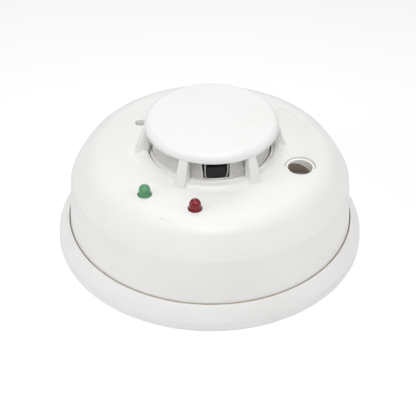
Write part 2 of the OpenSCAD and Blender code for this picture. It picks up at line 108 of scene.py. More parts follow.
def arc(centre, radius, start, end, steps=10):
    """Points centre + radius (cos a, sin a), for a from start to end in degrees."""
    a = np.radians(np.linspace(start, end, steps + 1))
    return np.array(centre) + radius * np.stack([np.cos(a), np.sin(a)], 1)


def bow(start, end, sag, steps=10):
    """Points from start to end, pushed sideways by 4 sag t (1 - t) at the share t of the way."""
    start, end = np.array(start, float), np.array(end, float)
    t = np.linspace(0, 1, steps + 1)[:, None]
    along = end - start
    side = np.array([along[1], -along[0]]) / np.linalg.norm(along)
    return start + along * t + side * 4 * sag * t * (1 - t)


def plain(points):
    """The same points as corners of radius 0, to go among rounded ones."""
    points = np.array(points, float)
    return np.column_stack([points, np.zeros(len(points))])


def rounded(corners, steps=5):
    """Closed outline through corners (x, y, radius). At each, an arc swings from the foot of the
    radius on the side before to its foot on the side after, seen from the arc's centre."""
    corners = np.array(corners, float)
    p, radius = corners[:, :2], corners[:, 2:]
    before, after = np.roll(p, 1, 0) - p, np.roll(p, -1, 0) - p
    before /= np.linalg.norm(before, axis=1, keepdims=True)
    after /= np.linalg.norm(after, axis=1, keepdims=True)
    half = np.arccos(np.clip((before * after).sum(1, keepdims=True), -0.999999, 0.999999)) / 2
    middle = before + after
    middle /= np.linalg.norm(middle, axis=1, keepdims=True)
    centre = p + middle * radius / np.sin(half)
    first = p + before * radius / np.tan(half) - centre
    last = p + after * radius / np.tan(half) - centre
    swing = (np.pi - 2 * half).T
    t = np.linspace(0, 1, steps + 1)[:, None]
    share = np.sin(np.stack([(1 - t) * swing, t * swing])) / np.sin(swing)
    points = centre + share[0][..., None] * first + share[1][..., None] * last
    points = points.transpose(1, 0, 2).reshape(-1, 2)
    apart = np.linalg.norm(points - np.roll(points, 1, 0), axis=1) > 1e-4
    apart[0] = True
    return points[apart]


def shell(grid, loop=False):
    """Closed surfaces from grids (..., rows, columns, xyz) whose columns close on themselves. With
    loop the rows close too; without, each end row is drawn together to its middle."""
    first, last = grid[..., :1, :, :], grid[..., -1:, :, :]
    if loop:
        grid = np.concatenate([grid, first], -3)
    else:
        start = np.repeat(first.mean(-2, keepdims=True), grid.shape[-2], -2)
        end = np.repeat(last.mean(-2, keepdims=True), grid.shape[-2], -2)
        grid = np.concatenate([start, grid, end], -3)
    index = np.arange(grid.size // 3).reshape(grid.shape[:-1])
    low, high = index[..., :-1, :], index[..., 1:, :]
    faces = np.stack([low, np.roll(low, -1, -1), np.roll(high, -1, -1), high], -1)
    return grid.reshape(-1, 3), faces.reshape(-1, 4)


def revolve(outline, centre=(0, 0), turns=TURNS):
    """Outline (r, z) carried round an upright line: x = r cos t and y = r sin t from the centre.
    The outline is a loop, or it starts and ends on the line itself."""
    t = np.linspace(0, 2 * np.pi, turns, endpoint=False)
    r, z = outline[:, :1], outline[:, 1:]
    grid = np.stack([centre[0] + r * np.cos(t), centre[1] + r * np.sin(t), z + 0 * t], -1)
    return shell(grid, loop=outline[0, 0] > 0)


def turned(part, angle):
    """A shell turned round the vertical axis by an angle in degrees."""
    c, s = np.cos(np.radians(angle)), np.sin(np.radians(angle))
    points, faces = part
    return points @ np.array([[c, s, 0], [-s, c, 0], [0, 0, 1]]), faces


def moved(part, offset):
    """A shell moved by an offset in millimetres."""
    points, faces = part
    return points + np.array(offset, float), faces


print("a turned part has", TURNS, "steps of", 360 / TURNS, "degrees")

# %% [markdown]
# ## From shells to objects
#
# A mesh that is joined from several shells needs care: points that lie on each other are welded,
# and every face is turned to look outwards, or light and the boolean tool get the inside wrong.
# Holes, slots and added ribs are made with Blender's exact boolean, as a toolmaker cuts them into
# the mould. After a cut, the smooth shading is weighted by the size of the faces, so that a large
# flat face stays flat right up to its rounded edge.

# %% Make, cut and finish a mesh
WELD = 0.001
SHARP_ANGLE = 32


def new_object(name, *parts):
    """One object at the origin from shells in millimetres, welded and facing outwards."""
    starts = np.cumsum([0] + [len(points) for points, faces in parts])
    points = np.concatenate([points for points, faces in parts]) * MM
    faces = np.concatenate([faces + start for (_, faces), start in zip(parts, starts)])
    mesh = bpy.data.meshes.new(name)
    mesh.from_pydata(points.tolist(), [], faces.tolist())
    work = bmesh.new()
    work.from_mesh(mesh)
    bmesh.ops.remove_doubles(work, verts=work.verts, dist=WELD * MM)
    bmesh.ops.recalc_face_normals(work, faces=work.faces)
    work.to_mesh(mesh)
    work.free()
    piece = bpy.data.objects.new(name, mesh)
    bpy.context.scene.collection.objects.link(piece)
    return piece


def carve(piece, *parts, add=False):
    """Cuts shells out of a piece, or adds them to it, and keeps the result as the piece's mesh."""
    tool = new_object("tool", *parts)
    step = piece.modifiers.new("carve", "BOOLEAN")
    step.operation = "UNION" if add else "DIFFERENCE"
    step.object, step.solver = tool, "EXACT"
    graph = bpy.context.evaluated_depsgraph_get()
    carved = bpy.data.meshes.new_from_object(piece.evaluated_get(graph))
    carved.name = piece.name
    piece.modifiers.clear()
    old, piece.data = piece.data, carved
    bpy.data.meshes.remove(old)
    bpy.data.meshes.remove(tool.data)


def shade(piece):
    """Smooth shading that breaks at sharp edges and is weighted by the size of the faces."""
    piece.data.shade_smooth()
    piece.data.set_sharp_from_angle(angle=np.radians(SHARP_ANGLE))
    weights = piece.modifiers.new("flat faces stay flat", "WEIGHTED_NORMAL")
    weights.keep_sharp = True


def dress(piece, finish, body, slot, *replaced):
    """Shades a piece, gives it its finish, fixes it to its body and hides the imported nodes it stands
    for.
    """
    shade(piece)
    piece.data.materials.clear()
    piece.data.materials.append(finish)
    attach(piece, body)
    if replaced:
        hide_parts(*replaced)
    print(piece.name, len(piece.data.vertices), "points", len(piece.data.polygons), "faces")


# %% [markdown]
# ## Shared effects for the finishes
#
# A moulded housing is never one even colour. Its surface has a fine satin grain from the mould,
# the resin varies a little in shade, the seams are darkened by dirt and by painted shade, and
# handling leaves specks and scuffs. Each of these is a node group that puts out a mask or a
# height, so that one effect can serve every finish, with its own strength in each.

# %% Node groups
def group(name, inputs, outputs):
    """An empty node group with sockets given as (label, type, default) and (label, type)."""
    tree = bpy.data.node_groups.new(name, "ShaderNodeTree")
    for label, kind, value in inputs:
        socket = tree.interface.new_socket(name=label, in_out="INPUT", socket_type=kind)
        socket.default_value = value
    for label, kind in outputs:
        tree.interface.new_socket(name=label, in_out="OUTPUT", socket_type=kind)
    tree.nodes.new("NodeGroupInput").name = "in"
    tree.nodes.new("NodeGroupOutput").name = "out"
    return tree


def node(tree, kind, links=(), **settings):
    """Adds a node. Settings are its own, or socket_N=value for input N; links are (input, output)."""
    made = tree.nodes.new("ShaderNode" + kind)
    for name, value in settings.items():
        if name.startswith("socket_"):
            made.inputs[int(name[7:])].default_value = value
        else:
            setattr(made, name, value)
    for target, source in links:
        tree.links.new(source, made.inputs[target])
    return made


def ramp(tree, source, low, high):
    """A smooth step: 0 below low, 1 above high, or the other way round when low is above high."""
    step = node(tree, "MapRange", [(0, source)], interpolation_type="SMOOTHSTEP")
    if low < high:
        values = (low, high, 0, 1)
    else:
        values = (high, low, 1, 0)
    for index, value in enumerate(values):
        step.inputs[index + 1].default_value = value
    return step.outputs[0]


def maths(tree, operation, first, second):
    """One sum on two values, each a number or another node's output."""
    made = node(tree, "Math", operation=operation)
    for index, value in enumerate((first, second)):
        if isinstance(value, (int, float)):
            made.inputs[index].default_value = value
        else:
            tree.links.new(value, made.inputs[index])
    return made.outputs[0]


F, V = "NodeSocketFloat", "NodeSocketVector"
FLOAT_UNIT = 1 / MM


def satin_grain():
    """Fine grain from the mould, and a slow drift of shade: two noises of very different size."""
    tree = group("satin grain", [("Grain size", F, 0.35), ("Drift size", F, 22)],
                 [("Height", F), ("Drift", F)])
    place = node(tree, "TexCoord").outputs["Object"]
    sizes = tree.nodes["in"].outputs
    fine = node(tree, "TexNoise", [(0, place), (2, maths(tree, "DIVIDE", FLOAT_UNIT, sizes[0]))],
                socket_3=3.0, socket_4=0.6)
    slow = node(tree, "TexNoise", [(0, place), (2, maths(tree, "DIVIDE", FLOAT_UNIT, sizes[1]))],
                socket_3=4.0)
    tree.links.new(fine.outputs[0], tree.nodes["out"].inputs[0])
    tree.links.new(slow.outputs[0], tree.nodes["out"].inputs[1])
    return tree


def dark_specks():
    """Small dots at a few of the cells of a Voronoi pattern: near a cell's middle, where its own
    random number is low."""
    tree = group("dark specks", [("Spacing", F, 7), ("Share", F, 0.1), ("Radius", F, 0.2)],
                 [("Mask", F)])
    place = node(tree, "TexCoord").outputs["Object"]
    inputs = tree.nodes["in"].outputs
    cells = node(tree, "TexVoronoi", [(0, place), (2, maths(tree, "DIVIDE", FLOAT_UNIT, inputs[0]))])
    span = maths(tree, "MULTIPLY", cells.outputs["Distance"], inputs[0])
    near = maths(tree, "LESS_THAN", span, inputs[2])
    pick = node(tree, "SeparateColor", [(0, cells.outputs["Color"])])
    chosen = maths(tree, "LESS_THAN", pick.outputs[0], inputs[1])
    tree.links.new(maths(tree, "MULTIPLY", near, chosen), tree.nodes["out"].inputs[0])
    return tree


def seam_shade_and_dirt():
    """Dirt and painted shade in a round seam: 1 where the distance from the upright line through
    Centre lies within Width of Radius and the height is under Top, broken up by a noise."""
    tree = group("seam shade and dirt", [("Radius", F, 28), ("Width", F, 0.4), ("Top", F, 46),
                               ("Centre", V, (0, 0, 0))], [("Mask", F)])
    place = node(tree, "TexCoord").outputs["Object"]
    inputs = tree.nodes["in"].outputs
    here = node(tree, "VectorMath", [(0, place), (1, inputs[3])], operation="SUBTRACT")
    parts = node(tree, "SeparateXYZ", [(0, here.outputs[0])])
    flat = node(tree, "CombineXYZ", [(0, parts.outputs[0]), (1, parts.outputs[1])])
    away = node(tree, "VectorMath", [(0, flat.outputs[0])], operation="LENGTH").outputs["Value"]
    away = maths(tree, "SUBTRACT", maths(tree, "MULTIPLY", away, FLOAT_UNIT), inputs[0])
    share = maths(tree, "DIVIDE", maths(tree, "ABSOLUTE", away, 0), inputs[1])
    height = maths(tree, "MULTIPLY", parts.outputs[2], FLOAT_UNIT)
    below = maths(tree, "SUBTRACT", inputs[2], height)
    patchy = node(tree, "TexNoise", [(0, place)], socket_2=260.0, socket_3=3.0)
    strength = ramp(tree, patchy.outputs[0], 0.25, 0.6)
    band = maths(tree, "MULTIPLY", ramp(tree, share, 1.0, 0.8), ramp(tree, below, 0.0, 0.7))
    mask = maths(tree, "MULTIPLY", band, maths(tree, "ADD", maths(tree, "MULTIPLY", strength, 0.4), 0.6))
    tree.links.new(mask, tree.nodes["out"].inputs[0])
    return tree


def scuff_mark():
    """A rubbed streak: an ellipse round Place, long across Along, torn by a stretched noise."""
    tree = group("scuff mark", [("Place", V, (0, 0, 0)), ("Length", F, 3), ("Turn", F, 0)],
                 [("Mask", F)])
    place = node(tree, "TexCoord").outputs["Object"]
    inputs = tree.nodes["in"].outputs
    here = node(tree, "VectorMath", [(0, place), (1, inputs[0])], operation="SUBTRACT").outputs[0]
    spun = node(tree, "VectorRotate", [(0, here), (3, inputs[2])], rotation_type="Z_AXIS").outputs[0]
    stretched = node(tree, "VectorMath", [(0, spun)], operation="MULTIPLY")
    stretched.inputs[1].default_value = (FLOAT_UNIT, FLOAT_UNIT * 5, FLOAT_UNIT * 2)
    away = node(tree, "VectorMath", [(0, stretched.outputs[0])], operation="LENGTH").outputs["Value"]
    share = maths(tree, "DIVIDE", away, inputs[1])
    torn = node(tree, "TexNoise", [(0, stretched.outputs[0])], socket_2=1.3, socket_3=4.0)
    mask = maths(tree, "MULTIPLY", ramp(tree, share, 1.0, 0.2), ramp(tree, torn.outputs[0], 0.47, 0.6))
    tree.links.new(mask, tree.nodes["out"].inputs[0])
    return tree


GRAIN, SPECKS, SEAM_SHADE_AND_DIRT_MASK, SCUFF = satin_grain(), dark_specks(), seam_shade_and_dirt(), scuff_mark()
print("node groups:", [tree.name for tree in (GRAIN, SPECKS, SEAM_SHADE_AND_DIRT_MASK, SCUFF)])

# %% [markdown]
# ## The finishes
#
# Off-white ABS plastic is a bright base colour with a satin coat: a roughness near 0.4 gives the
# wide, soft highlight of a moulded housing. The seams are tinted brown: partly dirt, and partly
# painted shade for the warm dark that the narrow gaps take on. Tinted epoxy lets light through,
# so the indicators use transmission with a strong colour.

# %% Helpers for materials
def new_finish(name, colour, roughness, metallic=0.0):
    """A material with one Principled BSDF, its constants set on the shader's own sockets."""
    finish = bpy.data.materials.new(name)
    finish.use_nodes = True
    surface = finish.node_tree.nodes["Principled BSDF"]
    surface.inputs["Base Color"].default_value = (*colour, 1)
    surface.inputs["Roughness"].default_value = roughness
    surface.inputs["Metallic"].default_value = metallic
    return finish, finish.node_tree, surface


def use_group(tree, made_of, *values):
    """Places a node group with its own values."""
    made = node(tree, "Group", node_tree=made_of)
    for socket, value in zip(made.inputs, values):
        socket.default_value = value
    return made


def blend_colour(tree, mask, below, above, strength=1.0):
    """Mixes the colour below into the colour above by a mask times a strength."""
    made = node(tree, "Mix", data_type="RGBA")
    tree.links.new(maths(tree, "MULTIPLY", mask, strength), made.inputs["Factor"])
    for label, value in (("A", below), ("B", above)):
        socket = next(s for s in made.inputs if s.name == label and s.type == "RGBA")
        if isinstance(value, tuple):
            socket.default_value = (*value, 1)
        else:
            tree.links.new(value, socket)
    return next(s for s in made.outputs if s.type == "RGBA")


def add_bump(tree, surface, height, depth):
    """Feeds a height through a Bump node, its depth in millimetres, to the surface."""
    bump = node(tree, "Bump", [("Height", height)])
    bump.inputs["Distance"].default_value = depth * MM
    tree.links.new(bump.outputs[0], surface.inputs["Normal"])


WHITE = (0.84, 0.84, 0.825)
WARM_SHADE = (0.78, 0.765, 0.735)
# Brown for the seams: dirt, and painted shade for the dark of the narrow gaps.
SEAM_SHADE_AND_DIRT_BROWN = (0.56, 0.42, 0.28)
SPECK_BROWN = (0.13, 0.1, 0.08)
SCUFF_GREY = (0.42, 0.41, 0.39)


def moulded_white(name, colour, seams=(), scuffs=(), speck_share=0.012):
    """Satin off-white plastic: grain, drift of shade, specks, seams darkened by dirt and painted shade,
    and scuffs.
    """
    finish, tree, surface = new_finish(name, colour, 0.4)
    texture = use_group(tree, GRAIN, 0.35, 24)
    shade_mask = ramp(tree, texture.outputs[1], 0.42, 0.85)
    tint = blend_colour(tree, shade_mask, colour, WARM_SHADE, 0.4)
    specks = use_group(tree, SPECKS, 6, speck_share, 0.16)
    tint = blend_colour(tree, specks.outputs[0], tint, SPECK_BROWN, 0.75)
    for place, length, turn in scuffs:
        mark = use_group(tree, SCUFF, tuple(c * MM for c in place), length, np.radians(turn))
        tint = blend_colour(tree, mark.outputs[0], tint, SCUFF_GREY, 0.8)
    # Each seam is tinted brown: dirt, and painted shade where the gap falls dark.
    for radius, width, top, strength, *centre in seams:
        middle = tuple(c * MM for c in (centre or (0, 0))) + (0,)
        shade_and_dirt = use_group(tree, SEAM_SHADE_AND_DIRT_MASK, radius, width, top, middle)
        tint = blend_colour(tree, shade_and_dirt.outputs[0], tint, SEAM_SHADE_AND_DIRT_BROWN, strength)
    tree.links.new(tint, surface.inputs["Base Color"])
    rough = node(tree, "MapRange", [(0, texture.outputs[0])])
    rough.inputs[3].default_value, rough.inputs[4].default_value = 0.36, 0.5
    tree.links.new(rough.outputs[0], surface.inputs["Roughness"])
    add_bump(tree, surface, texture.outputs[0], 0.012)
    return finish


def grained(name, colour, other, roughness, metallic=0.0, size=0.4, depth=0.01, amount=0.6):
    """A plain technical finish: two colours mixed by the slow noise, and a grain in the normal."""
    finish, tree, surface = new_finish(name, colour, roughness, metallic)
    texture = use_group(tree, GRAIN, size, size * 18)
    mixed = blend_colour(tree, ramp(tree, texture.outputs[1], 0.3, 0.75), colour, other, amount)
    tree.links.new(mixed, surface.inputs["Base Color"])
    rough = node(tree, "MapRange", [(0, texture.outputs[1])])
    rough.inputs[3].default_value = roughness - 0.07
    rough.inputs[4].default_value = roughness + 0.1
    tree.links.new(rough.outputs[0], surface.inputs["Roughness"])
    add_bump(tree, surface, texture.outputs[0], depth)
    return finish


def tinted_epoxy(name, colour, deep, clarity=0.75):
    """Cast epoxy: clear and glossy, its colour a little deeper where the slow noise is high."""
    finish, tree, surface = new_finish(name, colour, 0.06)
    texture = use_group(tree, GRAIN, 0.5, 3)
    mixed = blend_colour(tree, ramp(tree, texture.outputs[1], 0.35, 0.7), colour, deep, 0.5)
    tree.links.new(mixed, surface.inputs["Base Color"])
    surface.inputs["Transmission Weight"].default_value = clarity
    surface.inputs["IOR"].default_value = 1.5
    return finish


# %% [markdown]
# ## Sizes that everything shares
#
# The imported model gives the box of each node, so most heights and radii are read from it and not
# typed in again. What a box can't say, such as the radius of the shoulder or the angle of the
# first rib, is a named value here, in millimetres and degrees.

# %% Shared sizes
def span(name):
    """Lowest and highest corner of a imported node, in millimetres."""
    low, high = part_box(name)
    return np.array(low) / MM, np.array(high) / MM


def across(name):
    """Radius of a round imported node, from the width of its box."""
    low, high = span(name)
    return (high[1] - low[1]) / 2


def place_at(radius, angle):
    """Point on a circle about the axis, at an angle in degrees."""
    return radius * np.cos(np.radians(angle)), radius * np.sin(np.radians(angle))


def around(count, start):
    """Angles in degrees of a number of equal places round the axis."""
    return start + 360 / count * np.arange(count)


BASE_R, RIM_Z = across("mounting_base"), span("mounting_base")[1][2]
SKIRT_FOOT_R, SKIRT_Z = across("housing_cover"), span("housing_cover")[0][2]
CAP_R, CAP_Z, CAP_TOP = across("top_cap"), span("top_cap")[0][2], span("top_cap")[1][2]
CAP_SHIFT = span("top_cap")[1][0] - CAP_R
SCREEN_R, SCREEN_TOP = across("insect_screen"), span("insect_screen")[1][2]
CHAMBER_Z = span("insect_screen")[0][2]
TOP_Z = 45.4
WALL = 2.3
VENT_R = 28.4
COLLAR_Z = TOP_Z + 1.5
RIBS, RIB_START = 6, -113.4
RIB_ANGLES = around(RIBS, RIB_START)
WINDOW_ANGLE = RIB_ANGLES[:2].mean()
WINDOW_Z = COLLAR_Z + 0.5
LED_R, LED_HALF_STEP = 44.6, 15.2
GREEN_AT = place_at(LED_R, RIB_START - LED_HALF_STEP)
RED_AT = place_at(LED_R, RIB_START + LED_HALF_STEP)
PORT_AT, PORT_R = place_at(41.6, -18.4), 6.65
WELL_AT, WELL_R = place_at(37.7, 149.8), 2.55
print("base radius", round(BASE_R, 2), "cap top", round(CAP_TOP, 2), "screen radius", SCREEN_R)

# %% [markdown]
# ## White plastic for the housing
#
# All the white pieces come from one resin, yet they never match exactly: each is moulded apart
# and yellows at its own pace. So one function makes the finish and each piece gets its own shade,
# except that the ring and the sounder horn share a white painted lighter than the rest, as painted
# light where they sit in shade. The seams, darkened by dirt and painted shade, are given as
# circles: how far from the axis, how wide and up to what height.

# %% White finishes
# Seams darkened by dirt and painted shade: radius, width, top, strength and, off the axis, a centre. The
# cap's darkens its lower edge as painted shade where it meets the ribs.
VENT_SEAM = (VENT_R - 0.2, 0.6, COLLAR_Z - 0.45, 0.9)
SCREEN_SEAM = (SCREEN_R + 0.3, 0.4, COLLAR_Z - 0.1, 0.85)
RIM_SEAM = (SKIRT_FOOT_R + 0.15, 0.6, RIM_Z + 0.3, 0.75)
PORT_SEAM = (PORT_R - 0.2, 0.4, TOP_Z - 0.7, 0.8, *PORT_AT)
CAP_SEAM = (CAP_R, 0.9, CAP_Z + 0.35, 0.5, CAP_SHIFT, 0)
SCUFFS = [((-19.8, -50.1, 44.3), 2.6, 24), ((-17.4, -51, 44.1), 1.5, 20),
          ((31.8, -2.3, TOP_Z + 0.8), 1.4, 80), ((33.6, -4.6, TOP_Z), 1.6, -60),
          ((-3, -65, 22), 0.9, 0), ((24, -61, 24), 0.8, 0)]

COVER_WHITE = moulded_white("cover plastic", WHITE, [VENT_SEAM, RIM_SEAM, PORT_SEAM], SCUFFS)
BASE_WHITE = moulded_white("base plastic", (0.81, 0.812, 0.805), [RIM_SEAM])
CAP_WHITE = moulded_white("cap plastic", (0.86, 0.86, 0.855), [CAP_SEAM], speck_share=0.02)
# The ring's white, also used for the sounder horn, is painted lighter than the cover's: painted light for
# the vent under the cap.
RING_PAINTED_LIGHTER_WHITE = moulded_white("ring plastic painted lighter", (0.95, 0.945, 0.92), [VENT_SEAM, SCREEN_SEAM])
print("white finishes made")

# %% [markdown]
# ## Blocks, plates and slots
#
# Details that are added or cut are simple: a box, a round plate, a stretch of a ring, a slot. On a
# moulding even these have soft edges, so each is drawn as a rounded section and never as a bare
# cube or cylinder with a bevel on top.

# %% Simple solids with soft edges
def rectangle(x, y, radius, steps=4):
    """Outline of a rectangle from x[0] to x[1] and y[0] to y[1] with rounded corners."""
    corners = [(x[0], y[0], radius), (x[1], y[0], radius), (x[1], y[1], radius), (x[0], y[1], radius)]
    return rounded(corners, steps)


def at_height(outline, z):
    """An outline (x, y) laid at a height."""
    return np.column_stack([outline, np.full(len(outline), float(z))])


def sector(radii, angles, heights, edge=0.2, steps=16):
    """A rounded rectangle in the plane of radius and height, carried round the axis from one
    angle to another, both in degrees."""
    outline = rectangle(radii, heights, edge)
    t = np.radians(np.linspace(angles[0], angles[1], steps + 1))[:, None]
    r, z = outline[:, 0], outline[:, 1]
    return shell(np.stack([r * np.cos(t), r * np.sin(t), z + 0 * t], -1))


def stack(levels):
    """A shell through outlines (x, y) of equally many points, each at its own height."""
    return shell(np.stack([at_height(outline, z) for outline, z in levels]))


def block(low, high, edge=0.3, steps=4):
    """A box with rounded edges: rounded rectangles, inset near both ends by a quarter circle."""
    turn = np.radians(np.linspace(0, 90, steps + 1))
    inset, rise = edge * (1 - np.sin(turn)), edge * (1 - np.cos(turn))
    inset = np.concatenate([inset, inset[::-1]])
    heights = np.concatenate([low[2] + rise, high[2] - rise[::-1]])
    outlines = [rectangle((low[0] + i, high[0] - i), (low[1] + i, high[1] - i),
                          max(edge - i, 0.01)) for i in inset]
    return stack(list(zip(outlines, heights)))


def disc(radius, low, high, centre=(0, 0), turns=48, edge=0.0):
    """A round plate or a round cutter, its edges rounded."""
    corners = [(0, low, 0), (radius, low, edge), (radius, high, edge), (0, high, 0)]
    return revolve(rounded(corners), centre, turns)


def slot_cutter(length, width, thickness, chamfer=0.3):
    """A cutter for a long slot through a plate, wider by a chamfer at both faces."""
    heights = [-1, 0, chamfer, thickness - chamfer, thickness, thickness + 1]
    grow = [1 + chamfer, chamfer, 0, 0, chamfer, 1 + chamfer]
    return stack([(rectangle((-length / 2 - g, length / 2 + g), (-width / 2 - g, width / 2 + g),
                             width / 2 + g - 0.02, 8), z) for g, z in zip(grow, heights)])


# %% [markdown]
# ## The mounting base
#
# The base is screwed to the ceiling box and carries the head. It is one moulding of revolution
# with a flared rim, so its outline is carried round the axis; slots, hooks and screw posts are
# then cut or added. Its rear face shows the moulder's work: shallow rings that keep the plate from
# warping, and the round prints of the pins that push the part out of the mould.

# %% Mounting base
PLATE_T = 2.4
RIM_IN_R = SKIRT_FOOT_R + 0.25
RIM_BREAK_Z = 4.2
WIRE_HOLE_R, HUB_T, HUB_TOP = 17, 1.6, PLATE_T + 1.6
SLOTS = [(83.3 / 2, 0), (88.9 / 2, 90)]
SLOT_LENGTH, SLOT_W = 10, 4.6
TERMINAL_R, TERMINAL_ANGLES = 36.5, around(4, 45)
HOOK_ANGLES = around(3, 90)
HOOK_WALL_R, HOOK_WALL_TOP = (60.9, 62.45), 8
LEDGE_R, LEDGE_Z = (57.2, 62.5), (6.7, 8.2)
STOP_R, STOP_TOP = (57.2, 60.4), 6.4
PLATE_RINGS = (22, 29, 55.5, 63.5)
PIN_PRINT_R, PIN_AT, PIN_ANGLES = 1.9, 59.6, around(12, 15)


def base_outline():
    """The base's section: plate, hub round the wire opening, rim with a shallow bow, and groove."""
    slope = bow((BASE_R - 0.25, RIM_BREAK_Z), (RIM_IN_R + 0.35, RIM_Z), 0.35)
    return rounded(np.concatenate([
        [(WIRE_HOLE_R, 0, 0.3), (RIM_IN_R + 2, 0, 0.25), (RIM_IN_R + 2, RIM_BREAK_Z + 1, 0.1),
         (BASE_R - 2, RIM_BREAK_Z - 1, 0.1), (BASE_R - 2, 0, 0.2), (BASE_R, 0, 0.45),
         (BASE_R - 0.25, RIM_BREAK_Z, 0.6)],
        plain(slope[1:-1]),
        [(*slope[-1], 0.15), (RIM_IN_R, RIM_Z, 0.12), (RIM_IN_R, PLATE_T, 0.4),
         (WIRE_HOLE_R + HUB_T, PLATE_T, 0.3), (WIRE_HOLE_R + HUB_T, HUB_TOP, 0.4),
         (WIRE_HOLE_R, HUB_TOP, 0.4)]]))


def mounting_base():
    """The base with its slots, screw posts, hooks, stops, moulded rings and pin prints."""
    piece = new_object("mounting_base_shell", revolve(base_outline()))
    posts = [turned(block((32, -4.7, PLATE_T - 0.2), (50, 4.7, PLATE_T + 1), 0.2), angle)
             for angle in TERMINAL_ANGLES]
    walls, ledges = [], []
    for angle in HOOK_ANGLES:
        walls.append(sector(HOOK_WALL_R, (angle - 9.9, angle + 7.9), (PLATE_T - 0.2, HOOK_WALL_TOP)))
        walls.append(sector(STOP_R, (angle + 26.6, angle + 29), (PLATE_T - 0.2, STOP_TOP)))
        ledges.append(sector(LEDGE_R, (angle - 12, angle + 8), LEDGE_Z))
    carve(piece, *posts, *walls, add=True)
    carve(piece, *ledges, add=True)
    slot = slot_cutter(SLOT_LENGTH, SLOT_W, PLATE_T)
    cutters = [moved(slot, (*place_at(reach, turn), 0)) for reach, angle in SLOTS
               for turn in around(2, angle)]
    cutters += [disc(1.5, 0.8, 6, place_at(TERMINAL_R, angle)) for angle in TERMINAL_ANGLES]
    cutters += [revolve(rectangle((r, r + 1), (-0.5, 0.35), 0.15)) for r in PLATE_RINGS]
    cutters += [disc(PIN_PRINT_R, -0.5, 0.18, place_at(PIN_AT, angle), 32) for angle in PIN_ANGLES]
    carve(piece, *cutters)
    return piece


dress(mounting_base(), BASE_WHITE, "base", "base_plastic", "mounting_base")

# %% [markdown]
# ## The cover
#
# The cover is a thin bowl. Its side leans in slightly so that it leaves the mould, a crease marks
# where the steeper side begins to bow, and a shoulder of 10 mm radius leads to the flat top. A low
# collar rings the vent. The outline is drawn once outside and once inside, a wall apart, and
# carried round as one loop, so the bowl has its true thickness from the start.

# %% Outline of the cover
SKIRT_R, CREASE_R, CREASE_Z = 65.4, 63.4, 31.4
FLAT_R, SHOULDER_R, SHOULDER_START = 49.3, 10, 31
COLLAR_TOP_W, COLLAR_FOOT_R = 2.6, 34.5
COLLAR_RUN = COLLAR_FOOT_R - VENT_R - COLLAR_TOP_W
COLLAR_RISE = COLLAR_Z - TOP_Z
FILLET_R = (COLLAR_RUN ** 2 + COLLAR_RISE ** 2) / (2 * COLLAR_RISE)
FILLET_TURN = np.degrees(np.arcsin(COLLAR_RUN / FILLET_R))


def side_outline(inset):
    """The side above the crease, set in by a distance: a shallow bow, then the shoulder's arc."""
    shoulder = arc((FLAT_R, TOP_Z - SHOULDER_R), SHOULDER_R - inset, SHOULDER_START, 90, 16)
    side = bow((CREASE_R - inset, CREASE_Z), shoulder[0], 0.25)
    return np.concatenate([side, shoulder[1:]])


def cover_outline():
    """Outside from the foot to the vent, then back along the inside a wall's thickness below."""
    fillet = arc((COLLAR_FOOT_R, TOP_Z + FILLET_R), FILLET_R, -90, -90 - FILLET_TURN)
    return rounded(np.concatenate([
        [(SKIRT_FOOT_R - WALL, SKIRT_Z, 0.3), (SKIRT_FOOT_R, SKIRT_Z, 0.5)],
        plain([(SKIRT_R, RIM_Z - 1), *side_outline(0), *fillet[:-1]]),
        [(*fillet[-1], 0.3), (VENT_R, COLLAR_Z, 0.3), (VENT_R, TOP_Z - WALL, 0.2)],
        plain(side_outline(WALL)[::-1])]))


def cover_height(r):
    """Height of the cover's top at a distance r: flat, then the fillet's arc up to the collar."""
    reach = np.clip(COLLAR_FOOT_R - r, 0, COLLAR_RUN)
    return TOP_Z + FILLET_R - np.sqrt(FILLET_R ** 2 - reach ** 2)


print("collar fillet radius", round(FILLET_R, 2), "outline points", len(cover_outline()))

# %% [markdown]
# ## Ribs that hold the cap up
#
# Six ribs stand round the vent, wide and deep at the foot and slimmer under the cap, with a peg on
# top. A box with a bevel would look machined. A moulded rib has soft edges and runs into the
# cover in a small fillet, so it is lofted: a stack of rounded outlines, each spread a little more
# the nearer it comes to the surface it grows from.

# %% Rib loft
RIB_IN_R, RIB_TOP_IN_R, RIB_FOOT_R, RIB_TOP_R = VENT_R - 0.2, 27.1, 34, 29.6
RIB_W, RIB_TOP_W = 5.2, 4.0
RIB_FLOOR = COLLAR_Z - 0.3
RIB_EDGE = 0.3
FOOT_FILLET = 0.55
PEG_AT, PEG_R, PEG_TOP = 28, 0.9, CAP_Z + 1.8
RIB_POINTS = 112


def evenly(outline, count):
    """A closed outline walked in equal steps of its own length."""
    closed = np.concatenate([outline, outline[:1]])
    steps = np.linalg.norm(np.diff(closed, axis=0), axis=1)
    length = np.concatenate([[0], np.cumsum(steps)])
    stops = np.linspace(0, length[-1], count, endpoint=False)
    return np.stack([np.interp(stops, length, closed[:, i]) for i in (0, 1)], 1)


def spread_at_foot(outline, z):
    """Moves an outline outwards near the cover by q - sqrt(q^2 - (q - d)^2), where q is the
    fillet's radius and d the height above the cover, and in a straight line below that."""
    above = z - cover_height(outline[:, 0])
    sink = np.clip(FOOT_FILLET - above, 0, 1.6 * FOOT_FILLET)
    curved = np.clip(sink, 0, 0.85 * FOOT_FILLET)
    spread = FOOT_FILLET - np.sqrt(FOOT_FILLET ** 2 - curved ** 2) + 1.6 * (sink - curved)
    spread = spread * np.clip(outline[:, 0] - VENT_R - 0.3, 0, 1)
    along = np.roll(outline, -1, 0) - np.roll(outline, 1, 0)
    along /= np.linalg.norm(along, axis=1, keepdims=True)
    return outline + spread[:, None] * np.stack([along[:, 1], -along[:, 0]], 1)


